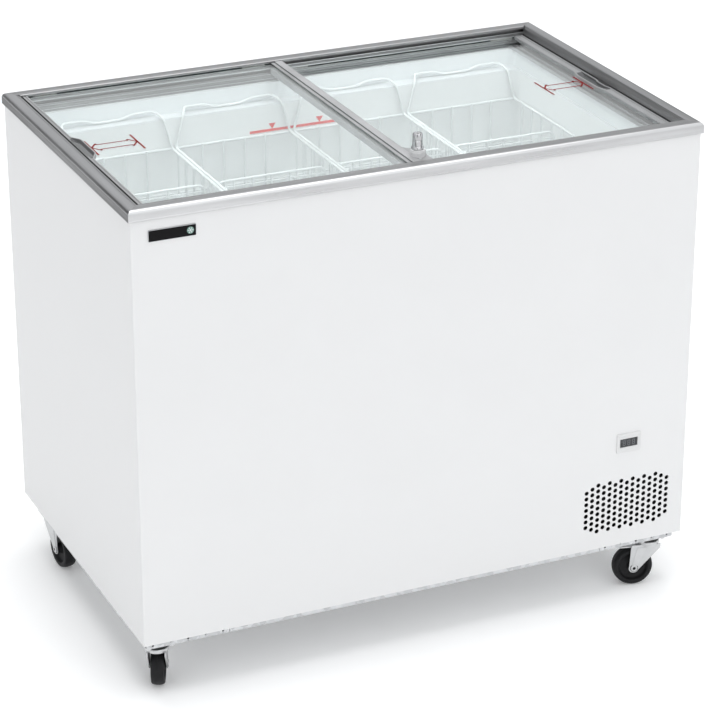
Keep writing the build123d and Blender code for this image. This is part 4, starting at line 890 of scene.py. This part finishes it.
# Bright folded edge of the base pan, between the brackets, under a dark gap
bm = bmesh.new()
front_ends = (bracket_nodes[0].x + 2 * bracket_half_x, bracket_nodes[1].x - 2 * bracket_half_x)
side_ends = (bracket_nodes[0].y + 2 * bracket_half_y, bracket_nodes[1].y - 2 * bracket_half_y)
for side in (-1, 1):
    face_y = side * (half_depth - 7.5 * MM)
    block(bm, (front_ends[0] + 2 * MM, min(face_y, face_y + side * MM), bracket_z - 1 * MM),
          (front_ends[1] - 2 * MM, max(face_y, face_y + side * MM), bracket_top - 1.6 * MM))
    face_x = side * (half_width - 7.5 * MM)
    block(bm, (min(face_x, face_x + side * MM), side_ends[0] + 2 * MM, bracket_z - 1 * MM),
          (max(face_x, face_x + side * MM), side_ends[1] - 2 * MM, bracket_top - 1.6 * MM))
place("base_edge_strips", settle(bm, "base_edge_strips"), "cabinet", "galvanised")


# ---------------------------------------------------------------- wire baskets
def basket_runs(middle, low, high):
    """Wires of one basket: the rim with its hanging loops, the grid, two rings and the divider."""
    rim_z = low.z + (high.z - low.z) * 0.797
    half_x = (high.x - low.x) / 2 - 2.5 * MM
    hook_y = high.y - 2.5 * MM
    half_y = hook_y - 27 * MM
    hook_z = high.z - 2.5 * MM
    floor_z = low.z + 1.5 * MM
    bend = 10 * MM
    runs = []
    loop_points = []
    for side_y in (1, -1):
        part = [(-half_x, half_y, rim_z), (-97 * MM, half_y + 1 * MM, hook_z - 9 * MM),
                (-91 * MM, half_y + 12.5 * MM, hook_z - 1 * MM), (-85 * MM, hook_y, hook_z),
                (-46 * MM, hook_y, hook_z), (-26 * MM, hook_y, hook_z - 7.2 * MM),
                (26 * MM, hook_y, hook_z - 7.2 * MM), (46 * MM, hook_y, hook_z), (85 * MM, hook_y, hook_z),
                (91 * MM, half_y + 12.5 * MM, hook_z - 1 * MM), (97 * MM, half_y + 1 * MM, hook_z - 9 * MM),
                (half_x, half_y, rim_z)]
        placed = [(middle + x * side_y, y * side_y, z) for x, y, z in part]
        loop_points += placed
    closed_line = bent(loop_points + loop_points[:2], bend)[1:-1]
    runs.append((closed_line, 2.5 * MM, True))
    for side_y in (-1, 1):
        runs.append(([Vector((middle - half_x, side_y * half_y, rim_z)),
                      Vector((middle + half_x, side_y * half_y, rim_z))], 2.5 * MM, False))
    post_x, post_y, post_top = half_x - 3.2 * MM, half_y - 3.2 * MM, rim_z + 2.5 * MM
    for x in (-61.5 * MM, -20.5 * MM, 20.5 * MM, 61.5 * MM):
        runs.append((bent([(middle + x, post_y, post_top), (middle + x, post_y, floor_z),
                           (middle + x, -post_y, floor_z), (middle + x, -post_y, post_top)], bend),
                     2.0 * MM, False))
    for row in range(12):
        y = (-220 + 40 * row) * MM
        runs.append((bent([(middle - post_x, y, post_top), (middle - post_x, y, floor_z + 2.8 * MM),
                           (middle + post_x, y, floor_z + 2.8 * MM), (middle + post_x, y, post_top)], bend),
                     1.8 * MM, False))
    for ring_z in (floor_z + 90 * MM, floor_z + 180 * MM):
        corners = [(middle + a, b, ring_z) for a, b in ((0, half_y), (half_x, half_y), (half_x, -half_y),
                                                        (-half_x, -half_y), (-half_x, half_y))]
        runs.append((bent(corners + corners[:1], bend)[:-1], 1.75 * MM, True))
    divide_y, divide_top, divide_foot = 80 * MM, rim_z - 8 * MM, floor_z + 6 * MM
    left, right = middle - 104 * MM, middle + 104 * MM
    runs.append((bent([(left, divide_y, divide_foot), (left, divide_y, divide_top),
                       (right, divide_y, divide_top), (right, divide_y, divide_foot)],
                      16 * MM), 2.2 * MM, False))
    for x in (-72, -36, 0, 36, 72):
        runs.append(([Vector((middle + x * MM, divide_y, divide_foot)),
                      Vector((middle + x * MM, divide_y, divide_top))], 1.9 * MM, False))
    for z in (divide_top - 12 * MM, divide_foot + 30 * MM):
        runs.append(([Vector((left, divide_y, z)), Vector((right, divide_y, z))], 1.5 * MM, False))
    return runs


for number in range(1, 5):
    node = f"basket_{number}"
    low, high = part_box(node)
    curve = wire_curve(f"{node}_wires", basket_runs((low.x + high.x) / 2, low, high))
    place(f"{node}_wires", curve, node, "wire_white", covers=[node])


# ---------------------------------------------------------------- casters
# Where each wheel points at rest, and how far it trails its swivel, both as in the CAD
headings = {"front_left": 66.0, "front_right": 165.0, "rear_left": -85.0, "rear_right": 100.0}
trail = 27 * MM

for corner, heading in headings.items():
    wheel_low, wheel_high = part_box(f"caster_{corner}_wheel")
    hub = (wheel_low + wheel_high) / 2
    ahead = Matrix.Rotation(math.radians(heading), 3, "Z") @ X
    across = Z.cross(ahead)
    swivel = Vector((hub.x, hub.y, 0)) - ahead * trail

    # Wheel: crowned tread with a mould line, dished sides and a raised hub ring
    side_line = [
        (4.1, 13.6), (7.6, 13.6), (8.8, 12.9), (9.6, 9.0), (11.0, 5.6), (13.0, 5.0), (22.5, 5.0), (24.6, 5.6),
        (26.0, 7.2), (27.2, 10.4), (28.6, 11.4), (31.6, 11.9), (33.6, 11.7), (35.4, 10.4), (36.6, 7.6),
        (37.2, 4.0), (37.5, 0.9), (37.3, 0.25)]
    profile = [(r * MM, h * MM) for r, h in side_line] + [(r * MM, -h * MM) for r, h in reversed(side_line)]
    bm = bmesh.new()
    turned(bm, profile, hub, across, 72, loop=True)
    place(f"{corner}_wheel_moulding", settle(bm, "wheel", 24), f"{corner}_wheel", "wheel_black",
          covers=[f"caster_{corner}_wheel"])

    # Fork: dished crown with a rolled rim, two tapered legs with a pressed rib, and the riveted axle
    bm = bmesh.new()
    turned(bm, [(r * MM, h * MM) for r, h in (
        (5.2, 82.4), (17.0, 82.4), (20.4, 82.0), (21.6, 83.0), (22.0, 85.0), (22.0, 88.4), (21.2, 89.6),
        (19.6, 90.0), (17.6, 89.2), (15.0, 87.8), (5.2, 87.8))], swivel, Z, 48, loop=True)
    leg = [(18.9, 33.6), (-20.0, 76.0), (-21.0, 79.0), (-21.0, 84.0), (32.0, 84.0), (33.6, 80.0),
           (36.3, 38.8)]
    leg_outline = leg + arc((27.6, 37.4), 9.3, 8, -155, 10)
    rib_outline = [(21.0, 42.0), (4.0, 79.0), (22.0, 79.0), (31.0, 43.0)]
    for side in (-1, 1):
        face = swivel + across * side * 14.5 * MM
        prism(bm, [(a * MM, b * MM) for a, b in leg_outline], face, ahead, Z, across * side * 2 * MM)
        prism(bm, [(a * MM, b * MM) for a, b in rib_outline], face + across * side * 2 * MM, ahead, Z,
              across * side * 0.7 * MM)
    turned(bm, [(4 * MM, -14.4 * MM), (4 * MM, 14.4 * MM)], hub, across, 24)
    for side in (-1, 1):
        turned(bm, [(r * MM, side * out * MM) for r, out in (
            (6.5, 16.5), (6.5, 17.4), (5.6, 18.3), (3.2, 18.5), (2.4, 17.6), (0.3, 17.5))], hub, across, 28)
    if corner.startswith("front"):
        turned(bm, [(1.8 * MM, -16.9 * MM), (1.8 * MM, 16.9 * MM)],
               swivel + ahead * 16 * MM + Z * 77.5 * MM, across, 16)
    made = place(f"{corner}_fork_pressing", settle(bm, "fork", 30), f"{corner}_swivel", "zinc",
                 covers=[f"caster_{corner}_fork"])
    soften(made, 0.5 * MM, 3, 45)

    # Dark sunk middle and edge line of the two axle rivets
    bm = bmesh.new()
    for side in (-1, 1):
        turned(bm, [(r * MM, side * out * MM) for r, out in (
            (0.0, 17.5), (2.9, 17.5), (2.9, 18.2), (0.0, 18.2))], hub, across, 20)
        turned(bm, [(r * MM, side * out * MM) for r, out in (
            (6.4, 16.3), (7.5, 16.3), (7.5, 16.75), (6.4, 16.75))], hub, across, 28, loop=True)
    place(f"{corner}_rivet_shadow_lines", settle(bm, "rivet_lines"), f"{corner}_swivel", "wheel_black")

    # Dark ring between the top plate and the fork crown: painted shade where the raceway lies in shadow
    bm = bmesh.new()
    turned(bm, [(19.05 * MM, plates_top - 9.2 * MM), (21.0 * MM, plates_top - 9.2 * MM),
                (21.0 * MM, plates_top - 2.7 * MM), (19.05 * MM, plates_top - 2.7 * MM)],
           swivel, Z, 48, loop=True)
    place(f"{corner}_raceway_shade_ring", settle(bm, "raceway_shade_ring"), "cabinet", "wheel_black")


# ---------------------------------------------------------------- floor, light and camera
def floor_look():
    """Pale mottled floor, lifted a little by a faint glow of its own."""
    made, tree, surface, output = blank_material("studio_floor")
    place_of = tree.nodes.new("ShaderNodeTexCoord").outputs["Object"]
    mottle = new_node(tree, "ShaderNodeTexNoise", Scale=3.0, Detail=3.0)
    tree.links.new(place_of, mottle.inputs["Vector"])
    tree.links.new(colour_mix(tree, mottle.outputs["Fac"], (0.95, 0.95, 0.95), (0.97, 0.97, 0.97)),
                   surface.inputs["Base Color"])
    surface.inputs["Roughness"].default_value = 0.8
    surface.inputs["Specular IOR Level"].default_value = 0.1
    surface.inputs["Emission Color"].default_value = (1, 1, 1, 1)
    surface.inputs["Emission Strength"].default_value = 0.14
    return made


bm = bmesh.new()
block(bm, (-14, -14, -0.05), (14, 14, 0))
floor = bpy.data.objects.new("floor", settle(bm, "floor"))
floor.data.materials.append(floor_look())
bpy.context.scene.collection.objects.link(floor)

# Studio room: a soft gradient, brightest in front, above and to the right, and dimmer behind and below
world = bpy.data.worlds.new("studio")
world.use_nodes = True
room = world.node_tree
background = room.nodes["Background"]
background.inputs["Color"].default_value = (0.97, 0.985, 1.0, 1)
direction = room.nodes.new("ShaderNodeTexCoord").outputs["Generated"]
lean = room.nodes.new("ShaderNodeVectorMath")
lean.operation = "DOT_PRODUCT"
lean.inputs[1].default_value = (0.16, -0.31, 0.28)
room.links.new(direction, lean.inputs[0])
strength = maths(room, "ADD", lean.outputs["Value"], 0.96)

# Two dark upright flags, which shape the reflections in the bright metal
sideways = room.nodes.new("ShaderNodeSeparateXYZ")
room.links.new(direction, sideways.inputs[0])
for flag_x, flag_half in ((0.66, 0.11), (-0.42, 0.10)):
    distance_off = maths(room, "ABSOLUTE", maths(room, "SUBTRACT", sideways.outputs["X"], flag_x))
    shade = new_node(room, "ShaderNodeMapRange", From_Min=flag_half, From_Max=flag_half + 0.02, To_Min=0.04)
    room.links.new(distance_off, shade.inputs["Value"])
    strength = maths(room, "MULTIPLY", strength, shade.outputs["Result"])
room.links.new(strength, background.inputs["Strength"])
bpy.context.scene.world = world


def soft_light(name, spot, aim, size, power, colour=(1, 1, 1)):
    """Square area light at spot, facing aim."""
    data = bpy.data.lights.new(name, "AREA")
    data.size = size
    data.energy = power
    data.color = colour
    lamp = bpy.data.objects.new(name, data)
    lamp.location = spot
    lamp.rotation_euler = (Vector(aim) - Vector(spot)).to_track_quat("-Z", "Y").to_euler()
    bpy.context.scene.collection.objects.link(lamp)


soft_light("key", (1.6, -3.4, 3.2), (0, 0, 0.5), 2.4, 7)
soft_light("overhead", (0.0, 0.2, 3.6), (0, 0, 0.5), 3.2, 58)

aim = Vector((0.0036, -0.0229, 0.4221))
azimuth, elevation, distance = math.radians(-24.27), math.radians(23.86), 5.09
back = Vector((math.sin(azimuth) * math.cos(elevation), -math.cos(azimuth) * math.cos(elevation),
               math.sin(elevation)))
camera = bpy.data.objects.new("camera", bpy.data.cameras.new("camera"))
camera.data.lens = 141.1
camera.data.sensor_width = 36
camera.location = aim + back * distance
camera.rotation_euler = (-back).to_track_quat("-Z", "Y").to_euler()
bpy.context.scene.collection.objects.link(camera)
bpy.context.scene.camera = camera
bpy.context.scene.view_settings.view_transform = "Standard"
